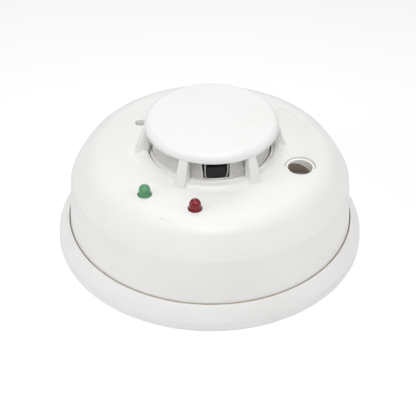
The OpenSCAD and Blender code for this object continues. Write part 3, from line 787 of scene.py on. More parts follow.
def rib_section(z, inset=0.0):
    """The rib's outline at a height: both its depth and its width shrink evenly to the top. Below
    the collar's rim it ends inside the cover's wall."""
    share = (z - TOP_Z) / (CAP_Z - TOP_Z)
    inner = VENT_R + 0.5 if z < RIB_FLOOR else RIB_IN_R + (RIB_TOP_IN_R - RIB_IN_R) * share
    outer = RIB_FOOT_R + (RIB_TOP_R - RIB_FOOT_R) * share - inset
    half = (RIB_W + (RIB_TOP_W - RIB_W) * share) / 2 - inset
    corners = [(inner + inset, -half, 0.2), (outer, -half, 0.55), (outer, half, 0.55),
               (inner + inset, half, 0.2)]
    return evenly(rounded(corners), RIB_POINTS)


def rib():
    """A rib from inside the cover's wall up to its rounded top, and the peg that holds the cap."""
    heights = [np.linspace(TOP_Z - 1, RIB_FLOOR - 0.001, 14), np.linspace(RIB_FLOOR, RIB_FLOOR + 1.4, 12),
               np.linspace(RIB_FLOOR + 2.2, CAP_Z - RIB_EDGE, 8)]
    levels = [(spread_at_foot(rib_section(z), z), z) for z in np.concatenate(heights)]
    for turn in np.radians([30, 60, 90]):
        z = CAP_Z - RIB_EDGE * (1 - np.sin(turn))
        levels.append((rib_section(z, RIB_EDGE * (1 - np.cos(turn))), z))
    peg = evenly(rectangle((PEG_AT - PEG_R, PEG_AT + PEG_R), (-PEG_R, PEG_R), PEG_R - 0.01), RIB_POINTS)
    tip = (peg - (PEG_AT, 0)) * 0.75 + (PEG_AT, 0)
    return stack(levels + [(peg, CAP_Z), (peg, PEG_TOP - 0.25), (tip, PEG_TOP)])


print("rib sections of", RIB_POINTS, "points")

# %% [markdown]
# ## Holes and the engraved outline
#
# Each hole in the cover has a rounded rim, as a mould leaves it. The cutter is therefore not a
# plain cylinder: it flares at the surface along a quarter circle. The fine outline on the top,
# which shows a tester where to hold a magnet, is cut with a thin round wire that runs half sunk
# along the surface.

# %% Cutters for the cover
def rim_cutter(centre, radius, low, rim):
    """A round cutter up through the top, flared at the surface to leave a rim of that radius."""
    flare = arc((radius + rim, TOP_Z - rim), rim, 180, 96, 6)
    outline = [(0, low), (radius, low), *flare, (flare[-1][0], TOP_Z + 3), (0, TOP_Z + 3)]
    return revolve(np.array(outline), centre, 96)


def tube(path, radius, sides=10, loop=False, up=(0, 0, 1)):
    """A round tube along a path: circles spanned by two unit vectors square to its direction. The
    direction is the difference of the points either side."""
    path = np.array(path, float)
    ahead = np.roll(path, -1, 0) - np.roll(path, 1, 0) if loop else np.gradient(path, axis=0)
    ahead /= np.linalg.norm(ahead, axis=1, keepdims=True)
    side = np.cross(ahead, up)
    side /= np.linalg.norm(side, axis=1, keepdims=True)
    top = np.cross(side, ahead)
    a = np.linspace(0, 2 * np.pi, sides, endpoint=False)[:, None]
    ring = np.cos(a) * side[:, None] + np.sin(a) * top[:, None]
    return shell(path[:, None] + np.reshape(radius, (-1, 1, 1)) * ring, loop)


MARK_R, MARK_A, MARK_CORNER, MARK_LINE = (36, 47.1), (28, 44.5), 2.4, 0.27


def magnet_mark():
    """A wire along a ring sector with rounded corners, its middle level with the cover's top. It
    is thinner, and so cuts less deep, along the side with the smallest angle."""
    inner = arc((0, 0), MARK_R[0], MARK_A[1] - 4.5, MARK_A[0] + 4.5)
    outer = arc((0, 0), MARK_R[1], MARK_A[0] + 3.5, MARK_A[1] - 3.5)
    corner = [(*place_at(r, a), MARK_CORNER) for r, a in
              [(MARK_R[0], MARK_A[0]), (MARK_R[1], MARK_A[0]), (MARK_R[1], MARK_A[1]),
               (MARK_R[0], MARK_A[1])]]
    outline = rounded(np.concatenate([plain(inner), corner[:2], plain(outer), corner[2:]]))
    path = at_height(evenly(outline, 220), TOP_Z + 0.02)
    angle = np.degrees(np.arctan2(path[:, 1], path[:, 0]))
    radius = np.interp(angle, (MARK_A[0] + 0.5, MARK_A[0] + 4), (0.08, MARK_LINE))
    return tube(path, radius, 10, loop=True)


LED_HOLE_R = 3.08
SLEEVE_Z = TOP_Z - 11
BOSS_R, BOSS_TOP, BOSS_SCREW_R = 3.2, 20, 1.4
BOSS_PLACES = [place_at(59.6, angle) for angle in around(3, 20)]
CHASSIS_TOP = 10.6


def housing_cover():
    """The bowl with its ribs, its inner bosses and sleeve, its holes and its engraved outline."""
    piece = new_object("housing_cover_shell", revolve(cover_outline()))
    ribs = [turned(rib(), angle) for angle in RIB_ANGLES]
    sleeve = disc(WELL_R + 1.3, SLEEVE_Z, TOP_Z - 1, WELL_AT)
    bosses = [disc(BOSS_R, CHASSIS_TOP, BOSS_TOP, place) for place in BOSS_PLACES]
    carve(piece, *ribs, sleeve, *bosses, add=True)
    cutters = [rim_cutter(place, LED_HOLE_R, TOP_Z - 5, 0.2) for place in (GREEN_AT, RED_AT)]
    cutters.append(rim_cutter(PORT_AT, PORT_R, TOP_Z - 5, 0.7))
    cutters.append(rim_cutter(WELL_AT, WELL_R, SLEEVE_Z - 1, 0.35))
    cutters += [disc(BOSS_SCREW_R, CHASSIS_TOP - 1, BOSS_TOP - 1.4, place, 32) for place in BOSS_PLACES]
    carve(piece, *cutters, magnet_mark())
    return piece


dress(housing_cover(), COVER_WHITE, "head", "cover_plastic", "housing_cover")

# %% [markdown]
# ## The cap
#
# The cap is a plain thick disc with a well rounded upper edge, a shallow hollow below and a socket
# for each peg. It sits a little off centre, because the sockets are wider than the pegs. Its top
# is crowned by a tenth of a millimetre: no moulded face is truly flat, and the faint crown
# is what makes the light on it fade from one side to the other.

# %% Cap
CAP_EDGE, CAP_CROWN = 2.8, 0.12
CAP_HOLLOW_R, CAP_HOLLOW_Z = 24.5, CAP_Z + 1.9


def cap_outline():
    """From the axis below, through the hollow and round the edge, to the axis on top."""
    crown = bow((CAP_R - CAP_EDGE - 1, CAP_TOP - CAP_CROWN), (0, CAP_TOP), 0.03, 8)
    return rounded(np.concatenate([
        [(0, CAP_HOLLOW_Z, 0), (CAP_HOLLOW_R, CAP_HOLLOW_Z, 0.5), (CAP_HOLLOW_R, CAP_Z, 0.3),
         (CAP_R, CAP_Z, 0.45), (CAP_R, CAP_TOP - CAP_CROWN, CAP_EDGE)],
        plain(crown)]), 12)


def top_cap():
    """The cap with a socket over each peg, shifted by the play it has."""
    piece = new_object("top_cap_shell", revolve(cap_outline(), (CAP_SHIFT, 0)))
    sockets = [disc(PEG_R + 0.35, CAP_Z - 0.5, PEG_TOP + 0.2, place_at(PEG_AT, angle), 32)
               for angle in RIB_ANGLES]
    carve(piece, *sockets)
    return piece


dress(top_cap(), CAP_WHITE, "head", "cover_plastic", "top_cap")

# %% [markdown]
# ## The chamber ring
#
# A stepped white ring trims the gap between the cover and the screen. It is a separate moulding on
# the chamber and never sits quite in the middle, so brown lines of uneven width show on both of
# its sides. A single outline carried round gives both steps.

# %% Chamber ring
RING_SHIFT = 0.22
RING_OUT_R, RING_IN_R = VENT_R - 0.3, SCREEN_R + 0.28
RING_FOOT_R, RING_FOOT_TOP = RING_OUT_R + 2.4, TOP_Z - WALL - 0.1
LIP_R, LIP_TOP, BAND_TOP = RING_IN_R + 0.5, COLLAR_Z - 0.1, COLLAR_Z - 0.5


def ring_outline():
    """Foot flange under the cover, outer band, and a lip that stands a little higher."""
    return rounded([
        (RING_IN_R, CHAMBER_Z, 0.1), (RING_FOOT_R, CHAMBER_Z, 0.2), (RING_FOOT_R, RING_FOOT_TOP, 0.2),
        (RING_OUT_R, RING_FOOT_TOP, 0.1), (RING_OUT_R, BAND_TOP, 0.15), (LIP_R, BAND_TOP, 0.12),
        (LIP_R, LIP_TOP, 0.15), (RING_IN_R, LIP_TOP, 0.15)])


ring = new_object("chamber_ring_shell", revolve(ring_outline(), (RING_SHIFT, 0)))
dress(ring, RING_PAINTED_LIGHTER_WHITE, "head", "cover_plastic", "chamber_ring")

# %% [markdown]
# ## The insect screen
#
# A fine woven screen keeps insects out of the chamber. It could be a flat sheet with a picture of
# a weave, but the holes have to let the black chamber show through from any side, so it is real
# wire. The upright wires swing in and out past the hoops, each half a wire's width, and the hoops
# swing the other way. Each set is worked out at once, as a field of tubes. In front of the heat
# sensor the screen has a window, one edge upright and the other slanting, with a flat hem on
# each, and a solid band holds the wires at the foot.

# %% Woven screen
PITCH, WIRE_R, WIRE_SIDES = 0.52, 0.17, 4
WIRE_SWING = 0.92 * WIRE_R
WEAVE_R = SCREEN_R - 0.3
WEAVE_Z = (COLLAR_Z - 1.2, SCREEN_TOP - 0.2)
UPRIGHTS = 2 * int(np.pi * WEAVE_R / PITCH)
WINDOW_RIGHT, WINDOW_LEFT = 5.2, (-6.15, -7.2)
WINDOW_SHIFT = -0.8
HEM_W = 0.45
HEM_R, BAND_R = (SCREEN_R - 0.56, SCREEN_R - 0.02), (SCREEN_R - 0.56, SCREEN_R - 0.04)
TOP_WIRE_R = 0.24


def on_drum(r, angle, z):
    """Points at a distance from the axis, an angle in radians and a height, as whole arrays."""
    r, angle, z = np.broadcast_arrays(r, angle, z)
    return np.stack([r * np.cos(angle), r * np.sin(angle), z], -1)


def wires(path, first, second):
    """Closed tubes round many paths at once: circles spanned by two fields of unit vectors."""
    a = np.linspace(0, 2 * np.pi, WIRE_SIDES, endpoint=False)[:, None] + np.pi / WIRE_SIDES
    ring = np.cos(a) * first[..., None, :] + np.sin(a) * second[..., None, :]
    return shell(path[..., None, :] + WIRE_R * ring)


def upright_wires():
    """Wire i stands at its own angle and swings to r + s cos(pi (i + j)) where it meets hoop j. In
    the window it ends under the sill, or at the slanting edge."""
    number = np.arange(UPRIGHTS)[:, None]
    angle = 2 * np.pi * (number + 0.5) / UPRIGHTS
    along = ((angle + np.pi) % (2 * np.pi) - np.pi) * SCREEN_R
    top = np.interp(along, WINDOW_LEFT[::-1], (WEAVE_Z[1], WINDOW_Z))
    top = np.where((along > WINDOW_LEFT[0]) & (along < WINDOW_RIGHT), WINDOW_Z - 0.3, top)
    top = np.where(along >= WINDOW_RIGHT, WEAVE_Z[1], top)
    rise = np.arange(0, (WEAVE_Z[1] - WEAVE_Z[0]) / PITCH, 0.5)
    swing = WIRE_SWING * np.cos(np.pi * (rise + number))
    angle = angle + np.radians(WINDOW_ANGLE)
    path = on_drum(WEAVE_R + swing, angle, np.minimum(WEAVE_Z[0] + rise * PITCH, top))
    return wires(path, on_drum(1, angle, 0 * swing), on_drum(1, angle + np.pi / 2, 0 * swing))


def hoop_wires():
    """Hoop j runs from the window's upright edge round to its slanting one, and swings to
    r - s cos(pi (i + j)) where it meets wire i."""
    z = np.arange(*WEAVE_Z, PITCH)[:, None]
    row = np.arange(len(z))[:, None]
    end = 2 * np.pi + np.interp(z, (WINDOW_Z, SCREEN_TOP), WINDOW_LEFT) / SCREEN_R
    start = WINDOW_RIGHT / SCREEN_R
    turn = start + (end - start) * np.linspace(0, 1, 2 * UPRIGHTS)
    swing = -WIRE_SWING * np.cos(np.pi * (turn * UPRIGHTS / (2 * np.pi) - 0.5 + row))
    turn = turn + np.radians(WINDOW_ANGLE)
    path = on_drum(WEAVE_R + swing, turn, z)
    return wires(path, on_drum(1, turn, 0 * z), 0 * path + (0, 0, 1))


def hem(low, high):
    """A flat strip up the window's edge: rounded rectangles in plan, bent to the drum."""
    levels = []
    for share in np.linspace(0, 1, 6):
        start = low + (high - low) * share
        outline = rectangle(HEM_R, (start, start + HEM_W), 0.12)
        bent = on_drum(outline[:, 0], outline[:, 1] / SCREEN_R, 0)[:, :2]
        levels.append((bent, WINDOW_Z - 0.8 + share * (SCREEN_TOP - WINDOW_Z + 0.6)))
    return turned(stack(levels), WINDOW_ANGLE)


def top_hem():
    """A round wire along the top, from one side of the window right round to the other."""
    ends = np.degrees(np.array([WINDOW_RIGHT + HEM_W, WINDOW_LEFT[1] - HEM_W]) / SCREEN_R)
    turn = np.radians(WINDOW_ANGLE + np.linspace(ends[0], 360 + ends[1], 240))
    return tube(on_drum(WEAVE_R, turn, SCREEN_TOP - 0.3), TOP_WIRE_R, 8)


SCREEN_GREY = grained("screen wire", (0.93, 0.925, 0.9), (0.8, 0.78, 0.74), 0.45, 0.0, 0.25, 0.006)
hems = [hem(WINDOW_RIGHT, WINDOW_RIGHT), hem(WINDOW_LEFT[0] - HEM_W, WINDOW_LEFT[1] - HEM_W)]
band = revolve(rectangle(BAND_R, (CHAMBER_Z, WINDOW_Z), 0.15))
screen = new_object("insect_screen_uprights", upright_wires(), band, *hems)
dress(screen, SCREEN_GREY, "head", "screen_mesh", "insect_screen")
hoops = new_object("insect_screen_hoops", hoop_wires(), top_hem())
dress(hoops, SCREEN_GREY, "head", "screen_mesh", "insect_screen")

# %% [markdown]
# ## The optical chamber
#
# Behind the screen is a black labyrinth: bent vanes that let smoke in and keep light out. Each
# vane is a ribbon along a smooth curve through four points, and the block that holds the heat
# sensor stands in the window. Matt black with a little sheen on its edges reads as a moulded part
# and not as a hole.

# %% Chamber, vanes and sensor block
VANES = 24
CHAMBER_R, CHAMBER_RING_R, CHAMBER_RING_T = 25.2, 19, 0.8
CHAMBER_LID_Z = span("chamber_lid")[0][2]
BLOCK_HALF, BLOCK_R, BLOCK_TOP = 4.4, 26.1, CHAMBER_LID_Z - 0.4
FACE_IN = 0.75


def ribbon(path, thickness, low, high):
    """An upright strip of even thickness along a path in plan."""
    path = np.array(path, float)
    ahead = np.gradient(path, axis=0)
    ahead /= np.linalg.norm(ahead, axis=1, keepdims=True)
    side = np.stack([-ahead[:, 1], ahead[:, 0]], 1) * thickness / 2
    corners = [(path - side, low), (path - side, high), (path + side, high), (path + side, low)]
    return shell(np.stack([at_height(p, z) for p, z in corners], 1))


def flowing(points, steps=6):
    """A curve through points, each stretch a cubic that leaves a point in the direction of the
    line between its neighbours (Catmull and Rom's formula)."""
    p = np.array(points, float)
    p = np.concatenate([2 * p[:1] - p[1:2], p, 2 * p[-1:] - p[-2:-1]])
    t = np.linspace(0, 1, steps, endpoint=False)[:, None, None]
    a, b, c, d = p[:-3], p[1:-2], p[2:-1], p[3:]
    curve = (2 * b + (c - a) * t + (2 * a - 5 * b + 4 * c - d) * t ** 2
             + (3 * b - a - 3 * c + d) * t ** 3) / 2
    return np.concatenate([curve.transpose(1, 0, 2).reshape(-1, p.shape[1]), p[-2:-1]])


def optical_chamber():
    """The ring and its vanes, and in the window a back panel and the block with its raised face."""
    vane_path = flowing([(19.7, -0.4), (21.5, 0.9), (23.2, 2.2), (24.7, 1.1)], 4)
    vane = ribbon(vane_path, 0.8, CHAMBER_Z + 0.4, CHAMBER_LID_Z)
    vanes = [turned(vane, angle) for angle in around(VANES, WINDOW_ANGLE + 180 / VANES)]
    ring = revolve(rectangle((CHAMBER_RING_R, CHAMBER_R), (CHAMBER_Z, CHAMBER_Z + CHAMBER_RING_T), 0.2))
    back = block((22.6, WINDOW_LEFT[1] + 0.3, WINDOW_Z), (25, WINDOW_RIGHT, CHAMBER_LID_Z - 0.3), 0.3)
    low, high = WINDOW_SHIFT - BLOCK_HALF, WINDOW_SHIFT + BLOCK_HALF
    body = block((23, low, WINDOW_Z + 0.1), (BLOCK_R, high, BLOCK_TOP), 0.55, 6)
    face = block((BLOCK_R - 0.3, low + FACE_IN, WINDOW_Z + 0.8),
                 (BLOCK_R + 0.08, high - FACE_IN, BLOCK_TOP - 0.7), 0.15)
    fronts = [turned(part, WINDOW_ANGLE) for part in (back, body, face)]
    return new_object("optical_chamber_vanes", ring, *vanes, *fronts)


CHAMBER_BLACK = grained("chamber black", (0.007, 0.005, 0.008), (0.012, 0.009, 0.012), 0.55, 0.0, 0.3,
                        0.015)
dress(optical_chamber(), CHAMBER_BLACK, "head", "black_plastic", "optical_chamber")

# %% [markdown]
# ## The heat sensor
#
# The sensor is a dark bead on two tinned wires. The wires come out at the foot of the block, stand
# in front of it and turn in under the cap to the bead. They are bent by hand, so the two are not
# alike. Each is a round tube along a smooth curve through a few points, and the bead is a drop of
# epoxy, fuller below than above.

# %% Heat sensor
LEAD_R = 0.24
LEAD_OUT = SCREEN_R + 0.3
BEAD_R, BEAD_Z = 0.95, CAP_Z - 1.15


def bead_outline(centre_z, radius):
    """A drop: r = R cos t (1 - 0.12 sin t) and z = R sin t above its centre."""
    t = np.radians(np.linspace(-90, 90, 20))
    outline = np.stack([radius * np.cos(t) * (1 - 0.12 * np.sin(t)), centre_z + radius * np.sin(t)], 1)
    outline[[0, -1], 0] = 0
    return outline


LEFT_LEAD = [(25.6, -4.7, 47.9), (26.6, -4.8, 47.9), (LEAD_OUT, -5.1, 48.6), (LEAD_OUT, -5.4, 49.8),
             (LEAD_OUT, -5.5, 52), (LEAD_OUT, -5.5, 55.2), (LEAD_OUT, -4.9, 56.1),
             (LEAD_OUT - 0.1, -3.1, 56.3), (LEAD_OUT - 0.3, -1.4, 56.1)]
RIGHT_LEAD = [(25.6, 3.1, 47.9), (26.6, 3.2, 47.9), (LEAD_OUT, 3.7, 48.8), (LEAD_OUT, 4, 50),
              (LEAD_OUT, 4.2, 51.5), (LEAD_OUT, 4.2, 53.5), (LEAD_OUT, 4.1, 55.2),
              (LEAD_OUT, 3.5, 56.1), (LEAD_OUT - 0.1, 1.6, 56.3), (LEAD_OUT - 0.3, -0.3, 56.1)]

TINNED = grained("tinned wire", (0.62, 0.61, 0.58), (0.45, 0.43, 0.4), 0.28, 1.0, 0.15, 0.004)
BEAD_EPOXY = grained("bead epoxy", (0.03, 0.026, 0.022), (0.05, 0.04, 0.03), 0.2, 0.0, 0.5, 0.01)
leads = [turned(tube(flowing(path), LEAD_R, 12, up=(1, 0.02, 0.05)), WINDOW_ANGLE)
         for path in (LEFT_LEAD, RIGHT_LEAD)]
dress(new_object("thermistor_wires", *leads), TINNED, "head", "lead_wire", "thermistor_leads")
bead = revolve(bead_outline(BEAD_Z, BEAD_R), (SCREEN_R - 0.2, WINDOW_SHIFT), 48)
bead = new_object("thermistor_drop", turned(bead, WINDOW_ANGLE))
dress(bead, BEAD_EPOXY, "head", "bead_epoxy", "thermistor_bead")

# %% [markdown]
# ## Indicator lights
#
# Each indicator is a standard 5 mm lamp, cast in tinted epoxy: an exact half sphere on a short
# cylinder, with a flange that keeps it from falling through its hole. The epoxy of these lamps
# is cloudy, so the finish lets half of the light through and nothing is modelled inside.

# %% Indicators
LED_DOME_R, LED_FLANGE_R = 2.5, 2.8
LED_LOW, LED_DOME_Z, LED_FLANGE_TOP = TOP_Z - 1.1, TOP_Z + 2.15, TOP_Z + 0.1


def lamp(place):
    """Flange, cylinder and dome as one outline carried round."""
    dome = arc((0, LED_DOME_Z), LED_DOME_R, 0, 90, 20)
    outline = rounded(np.concatenate([
        [(0, LED_LOW, 0), (LED_FLANGE_R, LED_LOW, 0.12), (LED_FLANGE_R, LED_FLANGE_TOP, 0.2),
         (LED_DOME_R, LED_FLANGE_TOP, 0.12)],
        plain(dome[:-1]), [(0, dome[-1][1], 0)]]))
    return revolve(outline, place, 72)


GREEN_EPOXY = tinted_epoxy("green epoxy", (0.17, 0.5, 0.26), (0.11, 0.4, 0.19), 0.5)
RED_EPOXY = tinted_epoxy("red epoxy", (0.36, 0.02, 0.03), (0.27, 0.012, 0.02), 0.5)
for label, place, finish in (("power", GREEN_AT, GREEN_EPOXY), ("alarm", RED_AT, RED_EPOXY)):
    slot = "green_lens" if label == "power" else "red_lens"
    dress(new_object(label + "_lamp", lamp(place)), finish, "head", slot, label + "_led")

# %% [markdown]
# ## The sounder port
#
# A short white tube brings the sound up to the cover and ends a little below its top. Inside it,
# a grey-brown sleeve with shallow ridges is painted shade for the dark deep in the bore; its upper
# edge slants, so more of the white wall shows on one side. Both are carried round the port's own
# axis.

# %% Sounder horn and shade sleeve
HORN_R, HORN_WALL, HORN_Z, HORN_TOP = 5.45, 1.05, 32, TOP_Z - 0.85
HORN_FLANGE_R = 14.2
SHADE_SLEEVE_TOP, SHADE_SLEEVE_LOW, SHADE_SLEEVE_SLANT, SHADE_SLEEVE_R = HORN_TOP - 2.5, HORN_TOP - 8, 2.0, HORN_R - 0.15
RIDGE, RIDGE_PITCH = 0.035, 0.9


def horn_outline():
    """The flange that sits on the sounder, and the tube up to its rounded lip."""
    out_r, flange_top = HORN_R + HORN_WALL, HORN_Z + 1.2
    return rounded([
        (HORN_R, HORN_Z, 0.1), (HORN_FLANGE_R, HORN_Z, 0.3), (HORN_FLANGE_R, flange_top, 0.3),
        (out_r, flange_top, 0.4), (out_r, HORN_TOP, 0.3), (HORN_R, HORN_TOP, 0.5)])


def shade_sleeve():
    """A sleeve whose inner side waves in shallow ridges. Its top edge slants: its height at the
    angle t is top - slant cos t, so the white tube above it shows more on one side."""
    t = np.linspace(0, 2 * np.pi, 96, endpoint=False)
    top = SHADE_SLEEVE_TOP - SHADE_SLEEVE_SLANT * np.cos(t)
    z = SHADE_SLEEVE_LOW + np.linspace(0, 1, 60)[:, None] * (top - SHADE_SLEEVE_LOW)
    inner = SHADE_SLEEVE_R + RIDGE * np.cos(2 * np.pi * (z - SHADE_SLEEVE_LOW) / RIDGE_PITCH)
    r = np.concatenate([inner, np.full((2, len(t)), HORN_R - 0.02)])
    z = np.concatenate([z, [top, 0 * top + SHADE_SLEEVE_LOW]])
    grid = np.stack([PORT_AT[0] + r * np.cos(t), PORT_AT[1] + r * np.sin(t), z], -1)
    return shell(grid, loop=True)


# The sleeve and the discs at its foot are grey-brown as painted shade: the white bore darkens with depth.
PORT_SHADE_BROWN = grained("port painted shade", (0.31, 0.265, 0.225), (0.25, 0.21, 0.175), 0.55, 0.0, 0.4, 0.02)
horn = new_object("sounder_horn_tube", revolve(horn_outline(), PORT_AT, 96))
dress(horn, RING_PAINTED_LIGHTER_WHITE, "head", "cover_plastic", "sounder_horn")
bottom = [disc(4.6, SHADE_SLEEVE_LOW + 0.6, SHADE_SLEEVE_LOW + 1.5, PORT_AT, 96, 0.2),
          disc(HORN_R - 0.02, SHADE_SLEEVE_LOW - 0.4, SHADE_SLEEVE_LOW + 0.3, PORT_AT, 96)]
port_shade = new_object("sounder_port_shade_sleeve", shade_sleeve(), *bottom)
dress(port_shade, PORT_SHADE_BROWN, "head", "black_plastic")

# %% [markdown]
# ## The test button
#
# A thin tool is pushed down a small well to test the detector. The button is a stepped pin: a
# head with a shallow dimple that guides the tool, a flange that stops it, and a nose below. It
# rides on its own body, so it travels when the joint moves.

# %% Test button
BUTTON_LOW, BUTTON_TOP = span("test_button")[0][2], span("test_button")[1][2]
BUTTON_FLANGE_Z = SLEEVE_Z - 1.4
NOSE_R, FLANGE_R = 1.4, 3.3


def button_outline():
    """Nose, flange, head and dimple, from the axis below to the axis above."""
    head_r, flange_top, dimple_z = WELL_R - 0.25, BUTTON_FLANGE_Z + 1.2, BUTTON_TOP - 0.5
    return rounded([
        (0, BUTTON_LOW, 0), (NOSE_R, BUTTON_LOW, 0.3), (NOSE_R, BUTTON_FLANGE_Z, 0.2),
        (FLANGE_R, BUTTON_FLANGE_Z, 0.2), (FLANGE_R, flange_top, 0.2), (head_r, flange_top, 0.1),
        (head_r, BUTTON_TOP, 0.35), (1.2, BUTTON_TOP, 0.2), (0.7, dimple_z, 0.3), (0, dimple_z, 0)])


# The button is the cover's white plastic, painted darker and warmer as painted shade deep in its well.
BUTTON_PAINTED_SHADE_WHITE = moulded_white("button plastic painted darker", (0.64, 0.62, 0.57), speck_share=0.0)
button = new_object("test_button_pin", revolve(button_outline(), WELL_AT, 64))
dress(button, BUTTON_PAINTED_SHADE_WHITE, "button", "cover_plastic", "test_button")

# %% [markdown]
# ## The rear chassis
#
# Seen through the wire opening from behind, the head's chassis is a white disc with shallow
# moulded pockets round a hub. It is carried round the axis like the base, and the posts, lugs,
# pockets and screw holes are added and cut the same way.

# %% Rear chassis
CHASSIS_Z, CHASSIS_R = 8.6, 62.4
CHASSIS_HUB_R, CHASSIS_HUB_TOP = (18.5, 20), CHASSIS_TOP + 2.4
POST_R, POST_PLACES = 3.4, [place_at(51, angle) for angle in around(3, 60)]
LUG_Z, LUG_FOOT_T = 4.8, 1.6
LUG_WALL_R, LUG_FOOT_R = (54.5, 56.5), (54.45, 60.4)
POCKET_R, POCKET_ANGLES = (4.5, 15.5), around(6, 30)
BOARD_Z = span("circuit_board")[0][2]


def rear_chassis():
    """The disc with its hub wall, board posts, twist-lock lugs, pockets and holes."""
    outline = rounded([
        (0, CHASSIS_Z, 0), (CHASSIS_R, CHASSIS_Z, 0.4), (CHASSIS_R, CHASSIS_TOP, 0.4),
        (CHASSIS_HUB_R[1], CHASSIS_TOP, 0.3), (CHASSIS_HUB_R[1], CHASSIS_HUB_TOP, 0.3),
        (CHASSIS_HUB_R[0], CHASSIS_HUB_TOP, 0.3), (CHASSIS_HUB_R[0], CHASSIS_TOP, 0.3),
        (0, CHASSIS_TOP, 0)])
    piece = new_object("rear_chassis_shell", revolve(outline))
    posts = [disc(POST_R, CHASSIS_TOP - 0.3, BOARD_Z, place) for place in POST_PLACES]
    walls = [sector(LUG_WALL_R, (angle - 9.3, angle + 5.9), (LUG_Z + 0.2, CHASSIS_Z + 0.4))
             for angle in HOOK_ANGLES]
    feet = [sector(LUG_FOOT_R, (angle - 9.4, angle + 6), (LUG_Z, LUG_Z + LUG_FOOT_T))
            for angle in HOOK_ANGLES]
    carve(piece, *posts, *walls, add=True)
    carve(piece, *feet, add=True)
    cutters = [sector(POCKET_R, (angle - 25, angle + 25), (CHASSIS_Z - 1, CHASSIS_Z + 0.7), 0.5)
               for angle in POCKET_ANGLES]
    cutters.append(disc(1.6, CHASSIS_Z - 1, CHASSIS_Z + 0.9, turns=32))
    cutters += [disc(1.25, BOARD_Z - 9, BOARD_Z + 1, place, 32) for place in POST_PLACES]
    sink = np.array([(0, CHASSIS_Z - 0.5), (3.1, CHASSIS_Z - 0.5), (1.5, CHASSIS_Z + 1.55),
                     (1.5, CHASSIS_TOP + 1), (0, CHASSIS_TOP + 1)])
    cutters += [revolve(sink, place, 32) for place in BOSS_PLACES]
    cutters += [turned(block((43.5, 3.1, CHASSIS_Z - 1), (48.5, 4.1, CHASSIS_TOP + 1), 0.1), angle)
                for angle in TERMINAL_ANGLES]
    carve(piece, *cutters)
    return piece


dress(rear_chassis(), BASE_WHITE, "head", "base_plastic", "rear_chassis")

# %% [markdown]
# ## Finishes for the pieces inside
#
# The board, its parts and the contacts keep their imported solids. Each still gets the finish that
# the real one has: solder mask over copper tracks, stamped brass, zinc plate, an amber relay case,
# a glass reed switch and printed sleeves. They show wherever the housing is open or taken apart.

# %% Inner finishes
def solder_mask():
    """Green lacquer over tracks: a brick pattern seen from above gives the copper under it."""
    finish, tree, surface = new_finish("solder mask", (0.03, 0.19, 0.08), 0.3)
    place = node(tree, "TexCoord").outputs["Object"]
    bricks = node(tree, "TexBrick", [(0, place)])
    for index, value in enumerate([(0.03, 0.19, 0.08, 1), (0.035, 0.23, 0.1, 1), (0.1, 0.36, 0.16, 1)]):
        bricks.inputs[index + 1].default_value = value
    bricks.inputs["Scale"].default_value = 160
    bricks.inputs["Mortar Size"].default_value = 0.03
    tree.links.new(bricks.outputs[0], surface.inputs["Base Color"])
    add_bump(tree, surface, bricks.outputs[1], 0.03)
    return finish


def banded_resistor():
    """A lacquered body with colour bands: stripes by the distance from the axis."""
    finish, tree, surface = new_finish("resistor lacquer", (0.62, 0.47, 0.3), 0.35)
    place = node(tree, "TexCoord").outputs["Object"]
    away = node(tree, "VectorMath", [(0, place)], operation="LENGTH").outputs["Value"]
    wave = maths(tree, "SINE", maths(tree, "MULTIPLY", away, 2 * np.pi * FLOAT_UNIT / 1.3), 0)
    mixed = blend_colour(tree, ramp(tree, wave, 0.5, 0.7), (0.62, 0.47, 0.3), (0.25, 0.06, 0.03))
    tree.links.new(mixed, surface.inputs["Base Color"])
    return finish


def reed_glass():
    """Thin green-tinted glass, its tint deeper in slow patches."""
    return tinted_epoxy("reed glass", (0.62, 0.8, 0.72), (0.5, 0.72, 0.62), 0.9)


BRASS = grained("stamped brass", (0.72, 0.53, 0.22), (0.6, 0.42, 0.17), 0.3, 1.0, 0.3, 0.008)
ZINC = grained("zinc plate", (0.66, 0.66, 0.65), (0.52, 0.51, 0.47), 0.32, 1.0, 0.3, 0.008)
AMBER = grained("relay case", (0.78, 0.42, 0.08), (0.66, 0.33, 0.06), 0.22, 0.0, 0.6, 0.01)
SLEEVE = grained("capacitor sleeve", (0.05, 0.08, 0.2), (0.03, 0.05, 0.14), 0.28, 0.0, 0.5, 0.01)
NYLON = grained("natural nylon", (0.74, 0.73, 0.68), (0.66, 0.64, 0.57), 0.45, 0.0, 0.4, 0.01)
CLEAR_EPOXY = tinted_epoxy("clear epoxy", (0.6, 0.64, 0.78), (0.5, 0.55, 0.7))
DARK_EPOXY = grained("dark epoxy", (0.02, 0.02, 0.035), (0.03, 0.03, 0.05), 0.1, 0.0, 0.5, 0.005)
INNER = {
    "base_contacts": BRASS, "head_contacts": BRASS, "piezo_disc": BRASS,
    "terminal_clamps": ZINC, "terminal_screws": ZINC, "board_screws": ZINC, "cover_screws": ZINC,
    "photodiode_shield": ZINC, "led_leads": TINNED, "reed_leads": TINNED,
    "circuit_board": solder_mask(), "alarm_relay": AMBER, "reed_switch": reed_glass(),
    "capacitors": SLEEVE, "resistors": banded_resistor(), "led_spacers": NYLON,
    "emitter_diode": CLEAR_EPOXY, "photodiode": DARK_EPOXY,
    "chamber_floor": CHAMBER_BLACK, "chamber_lid": CHAMBER_BLACK, "sounder_case": CHAMBER_BLACK,
    "test_switch": CHAMBER_BLACK, "control_chip": CHAMBER_BLACK, "signal_chips": CHAMBER_BLACK,
}
for name, finish in INNER.items():
    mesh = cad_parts[name].data
    mesh.materials.clear()
    mesh.materials.append(finish)
print("finishes on", len(INNER), "inner nodes")

# %% [markdown]
# ## Floor
#
# The object lies on wide white paper, which throws light back up under the rim. The paper is matt
# and even, with no weave or print, so that nothing takes the eye from the object.

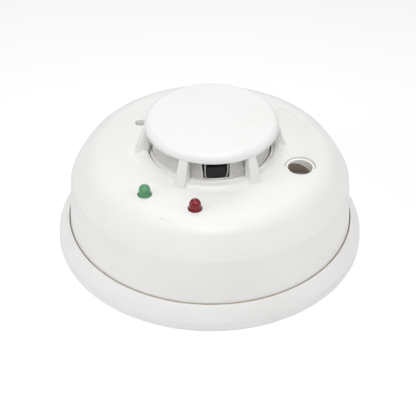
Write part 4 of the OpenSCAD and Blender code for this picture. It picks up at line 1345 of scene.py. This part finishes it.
# %% Floor
FLOOR_R = 1600


def studio_floor():
    """A flat ring: rows (r cos t, r sin t, 0) for the radius of the opening and the outer one. The
    object covers the opening, through which its rear face can be looked at from below."""
    t = np.linspace(0, 2 * np.pi, 96, endpoint=False)
    r = np.array([BASE_R - 0.3, FLOOR_R])[:, None]
    points = np.stack([r * np.cos(t), r * np.sin(t), 0 * r * t], -1).reshape(-1, 3) * MM
    near = np.arange(len(t))
    after = np.roll(near, -1)
    faces = np.stack([near, near + len(t), after + len(t), after], 1)
    mesh = bpy.data.meshes.new("floor")
    mesh.from_pydata(points.tolist(), [], faces.tolist())
    floor = bpy.data.objects.new("floor", mesh)
    bpy.context.scene.collection.objects.link(floor)
    mesh.materials.append(new_finish("studio paper", (1, 1, 1), 0.9)[0])


studio_floor()
print("floor radius", FLOOR_R)

# %% [markdown]
# ## Light
#
# A white object on white paper needs light from nearly all round, with just enough difference
# between the sides to show its shape. A key lamp from high in front reaches under the cap, so that
# the vent is not black, and one overhead lights the cap's flat top. Lamps to the left and right
# shape the side, one behind keeps the paper white, and an even white world fills what they leave.

# %% Light
WORLD_STRENGTH = 0.27
LAMP_REACH = 0.9
LAMPS = [("key", 0, 62, 0.35, 3.0), ("overhead", 0, 80, 0.5, 1.1), ("left", -75, 30, 0.5, 1.6),
         ("right", 80, 30, 0.5, 1.25), ("back", 180, 60, 0.6, 1.9)]


def soft_lamp(name, azimuth, elevation, size, power):
    """A square lamp aimed at the object. Azimuth 0 is the camera's side and grows towards +X."""
    a, e = np.radians([azimuth, elevation])
    away = Vector((np.sin(a) * np.cos(e), -np.cos(a) * np.cos(e), np.sin(e)))
    data = bpy.data.lights.new(name, "AREA")
    data.size, data.energy = size, power
    light = bpy.data.objects.new(name, data)
    bpy.context.scene.collection.objects.link(light)
    light.location = away * LAMP_REACH
    light.rotation_euler = away.to_track_quat("Z", "Y").to_euler()


world = bpy.data.worlds.new("light tent")
world.use_nodes = True
sky = world.node_tree.nodes["Background"]
sky.inputs["Color"].default_value = (1, 1, 1, 1)
sky.inputs["Strength"].default_value = WORLD_STRENGTH
bpy.context.scene.world = world
bpy.context.scene.view_settings.view_transform = "Standard"
for setting in LAMPS:
    soft_lamp(*setting)
print("lamps", [name for name, *rest in LAMPS])
